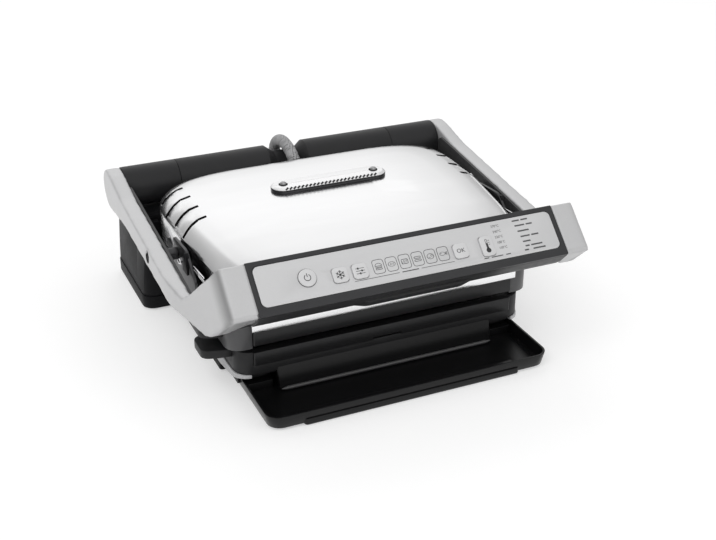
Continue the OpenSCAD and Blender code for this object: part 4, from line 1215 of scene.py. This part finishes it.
@dataclass
class NamePlate:
    """The bare plate riveted to the lid: a bright face on an edge painted dark for shade, and a ribbed front
    slope whose real ribs are painted dark for shade. Millimetres.
    """

    middle: Spot = (0.0, 0.018, 0.1309)
    length: float = 115.6
    depth: float = 23.6
    edge: float = 2.9
    margin: float = 0.35
    base: float = 0.5
    slope: float = 2.3
    rise: float = 1.5
    rivet_x: float = 46.0
    rib_pitch: float = 3.9

    def build(self) -> None:
        """Build the plate, its ribs and its rivets."""
        place = Matrix.Translation(self.middle) @ Matrix.Scale(MM, 4)
        edge, _ = self.stadium(0.0, self.edge)
        Workshop.soften(edge, 0.35, 60.0)
        bmesh.ops.transform(edge, matrix=place, verts=edge.verts)
        # painted shade: the plate's side wall takes the dark metal
        Workshop.fix("plate_edge_painted_shade", edge, "lid", NICKEL_PAINTED_SHADE, "badge_metal", ("name_plate",))
        work, face = self.stadium(self.margin, self.base)
        bmesh.ops.inset_region(work, faces=[face], thickness=self.slope, depth=self.rise,
                               use_even_offset=True)
        Workshop.soften(work, 0.2, 25.0)
        bmesh.ops.translate(work, vec=(0.0, 0.0, self.edge), verts=work.verts)
        bmesh.ops.transform(work, matrix=place, verts=work.verts)
        Workshop.fix("plate_face", work, "lid", BADGE_STEEL, "badge_metal")
        self.build_ribs(place)
        self.build_rivets(place)

    def stadium(self, inset: float, height: float) -> tuple[BMesh, BMFace]:
        """Make a plate with round ends.

        Args:
            inset: How much smaller it is all round.
            height: Its thickness.

        Returns:
            The plate and its upper face.
        """
        work = bmesh.new()
        corners = Slab.square(work)
        size = (self.length - 2 * inset, self.depth - 2 * inset)
        bmesh.ops.scale(work, vec=(*size, 1.0), verts=corners)
        Slab.round_corners(work, corners, size[1] / 2 - 0.02, 14)
        return work, Slab.lift(work, (0.0, 0.0, height))

    def build_ribs(self, place: Matrix) -> None:
        """Build the slanting ribs along the front slope."""
        ink = Ink()
        reach = self.length / 2 - self.depth / 2
        for number in range(int(2 * reach / self.rib_pitch) + 1):
            ink.at = (number * self.rib_pitch - reach, 0.0)
            ink.bar((-1.4, -1.15), (1.4, 1.15), 1.7)
        front = self.margin + (self.slope - self.depth) / 2
        on_slope = (place @ Matrix.Translation((0.0, front, self.edge + self.base + self.rise / 2))
                    @ Matrix.Rotation(math.atan2(self.rise, self.slope), 4, "X")
                    @ Matrix.Translation((0.0, 0.0, 0.28)))
        # painted shade: the ribs take the dark metal
        Workshop.fix("plate_ribs", ink.film(on_slope, 0.4), "lid", NICKEL_PAINTED_SHADE, "badge_metal")

    def build_rivets(self, place: Matrix) -> None:
        """Build the domed rivets, each on its washer, painted black to stand in for the dome's dark
        reflection.
        """
        top = self.edge + self.base + self.rise
        washers, heads = bmesh.new(), bmesh.new()
        for side in (-1, 1):
            spot = place @ Matrix.Translation((side * self.rivet_x, 0.0, top))
            Turning.add(washers, ((0.0, -0.4), (4.3, -0.4), (4.3, 0.3), (3.8, 0.6), (0.0, 0.6)), spot)
            Turning.add(heads, ((0.0, 0.3), (3.1, 0.3), (3.1, 0.9), (2.8, 1.7), (2.1, 2.3), (1.1, 2.7),
                                (0.0, 2.8)), spot)
        # painted shade: the black washer ring round each dome stands in for its dark reflection
        Workshop.fix("plate_washers_painted_shade", washers, "lid", BLOCK_BLACK, "black_shell")
        Workshop.fix("plate_rivet_heads", heads, "lid", RIVET_STEEL, "bright_metal", ("plate_rivets",))


@dataclass
class Louvres:
    """Painted shade: dark strips over the slots in the lid's shoulders, standing in for the shade inside
    them. Lengths in metres.
    """

    first: float = 0.070
    pitch: float = 0.0245
    count: int = 4
    inner: float = 0.1285
    outer: float = 0.1528
    half_width: float = 0.0018
    thickness: float = 0.0006
    beside: float = 0.003
    proud: float = 0.00016
    above: float = 0.2
    near: float = 0.1

    def build(self) -> None:
        """Lay the strips on the cover, a hair proud of it."""
        work = bmesh.new()
        skin = BVHTree.FromBMesh(Workshop.node_bmesh("lid_cover"))
        for side in (-1, 1):
            for number in range(self.count):
                self.add_strip(work, skin, side, HINGE_Y - self.first - number * self.pitch)
        bmesh.ops.recalc_face_normals(work, faces=work.faces)
        bmesh.ops.solidify(work, geom=work.faces[:], thickness=self.thickness)
        bmesh.ops.recalc_face_normals(work, faces=work.faces)
        # painted shade over each slot
        Workshop.fix("louvre_slot_shade", work, "lid", SLOT_SHADE_BLACK, "black_shell")

    def add_strip(self, work: BMesh, skin: BVHTree, side: int, y: float) -> None:
        """Add one strip that follows the cover.

        Args:
            work: The mesh to add to.
            skin: The cover's surface.
            side: -1 for the left shoulder, 1 for the right one.
            y: The slot's middle line.
        """
        for vert in bmesh.ops.create_grid(work, x_segments=14, y_segments=2, size=0.5)["verts"]:
            x = side * (self.inner + (vert.co.x + 0.5) * (self.outer - self.inner))
            hits = []
            for beside in (y - self.beside, y + self.beside):
                hit = skin.ray_cast(Vector((x, beside, self.above)), Vector((0.0, 0.0, -1.0)))
                hits.append(hit if hit[0] else skin.find_nearest(Vector((x, beside, self.near))))
            middle = (hits[0][0] + hits[1][0]) / 2
            normal = (hits[0][1] + hits[1][1]).normalized()
            vert.co = Vector((middle.x, y + vert.co.y * 2 * self.half_width, middle.z)) + normal * self.proud


@dataclass
class Sleeve:
    """The woven cable sleeve from the base over the hinge bar into the lid. Lengths in metres."""

    radius: float = 0.0060
    sides: int = 28
    steps: int = 5
    route: tuple[Point, ...] = (
        (0.031, 0.0883), (0.0315, 0.096), (0.031, 0.104), (0.029, 0.112), (0.025, 0.119),
        (0.0185, 0.1245), (0.0105, 0.128), (0.002, 0.1295), (-0.007, 0.129), (-0.016, 0.127),
        (-0.0245, 0.123), (-0.032, 0.1175), (-0.038, 0.112))

    def curve(self) -> list[Vector]:
        """Return the route's centreline, smoothed between its points."""
        points = [Vector((0.0, HINGE_Y + y, z)) for y, z in self.route]
        points = [points[0] * 2 - points[1], *points, points[-1] * 2 - points[-2]]
        line = []
        for a, b, c, d in zip(points, points[1:], points[2:], points[3:]):
            for step in range(self.steps):
                t = step / self.steps
                line.append(0.5 * (2 * b + (c - a) * t + (2 * a - 5 * b + 4 * c - d) * t * t
                                   + (3 * b - a - 3 * c + d) * t ** 3))
        return [*line, points[-2]]

    def build(self) -> None:
        """Sweep the sleeve and put it in the scene."""
        line = self.curve()
        swell = [1.0 + 0.03 * math.sin(index * 2.2) for index in range(len(line))]
        piece = Workshop.fix("braided_sleeve", Turning.sweep(line, self.radius, self.sides, swell), None,
                             GREY_BRAID, "woven_sleeve", ("cable_sleeve",))
        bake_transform(piece)


# ---- the grill

BASE = Assembly("base", {
    "base_tub": (GRAINED_BLACK, "black_shell", 0.0008),
    "tray_guides": (GRAINED_BLACK, "black_shell", 0.0003),
    "side_skirts": (SKIRT_GREY, "skirt_grey", 0.0006),
    "rear_housing": (BLOCK_BLACK, "black_shell", 0.0010),
    "housing_cheeks": (BLOCK_BLACK, "black_shell", 0.0010),
    "hinge_barrel": (BAR_BLACK, "black_shell", 0.0006),
    "base_pan": (BLOCK_BLACK, "black_shell", 0.0006),
    "lower_plate": (NON_STICK, "coated_plate", 0.0008),
    "rubber_feet": (BLACK_RUBBER, "black_rubber", 0.0005),
    "cord_gland": (BLACK_RUBBER, "black_rubber", 0.0004),
    "sleeve_gland": (BLACK_RUBBER, "black_rubber", 0.0005),
}, {
    "hinge_pins": BRIGHT_STEEL, "lower_heater": HEATER_STEEL, "lower_reflector": SHEET_ALUMINIUM,
    "plate_probe": TURNED_BRASS, "power_board": BOARD_GREEN, "base_screws": BRIGHT_STEEL,
})

YOKE = Assembly("yoke", {
    "arm_liners": (LINER_GREY, "black_shell", 0.0006),
    "hinge_collars": (BAR_BLACK, "black_shell", 0.0006),
    "handle_shell": (GRAINED_BLACK, "black_shell", 0.0012),
    "panel_bezel": (DARK_SATIN, "dark_bezel", 0.0008),
    "panel_insert": (PANEL_SILVER, "panel_grey", 0.0004),
}, {"hinge_bushes": TURNED_BRASS, "control_board": BOARD_GREEN, "key_switches": GRAINED_BLACK})

LID = Assembly("lid", {
    "lid_frame": (FRAME_BLACK, "black_shell", 0.0012),
    "lid_brackets": (DARK_STEEL, "bright_metal", 0.0006),
    "upper_plate": (NON_STICK, "coated_plate", 0.0008),
    "sleeve_socket": (BLACK_RUBBER, "black_rubber", 0.0006),
    "lid_cover": (POLISHED_STEEL, "polished_cover", 0.0003),
}, {"upper_heater": HEATER_STEEL, "upper_reflector": SHEET_ALUMINIUM})


def main() -> None:
    """Build the studio and the grill."""
    logging.basicConfig(level=logging.INFO, format="%(message)s")
    Studio().build()
    for assembly in (BASE, YOKE, LID):
        assembly.build()
    for key in ("power", "frozen", "manual", "ok", "heat"):
        Workshop.round_node(f"key_{key}", f"button_{key}", KEY_SILVER, "key_grey", 0.0003)
    for level in ("lower", "upper"):
        Workshop.round_node(f"{level}_release", f"plate_release_{level}", GRAINED_BLACK, "black_shell",
                            0.0008)
    Workshop.dress_node("float_pins", DARK_STEEL)
    for part in (Arm(-1), Arm(1), BracketTrim(-1), BracketTrim(1), Panel(), DripTray(), DrainWall(),
                 NamePlate(), Louvres(), Sleeve()):
        part.build()


if __name__ == "__main__":
    main()
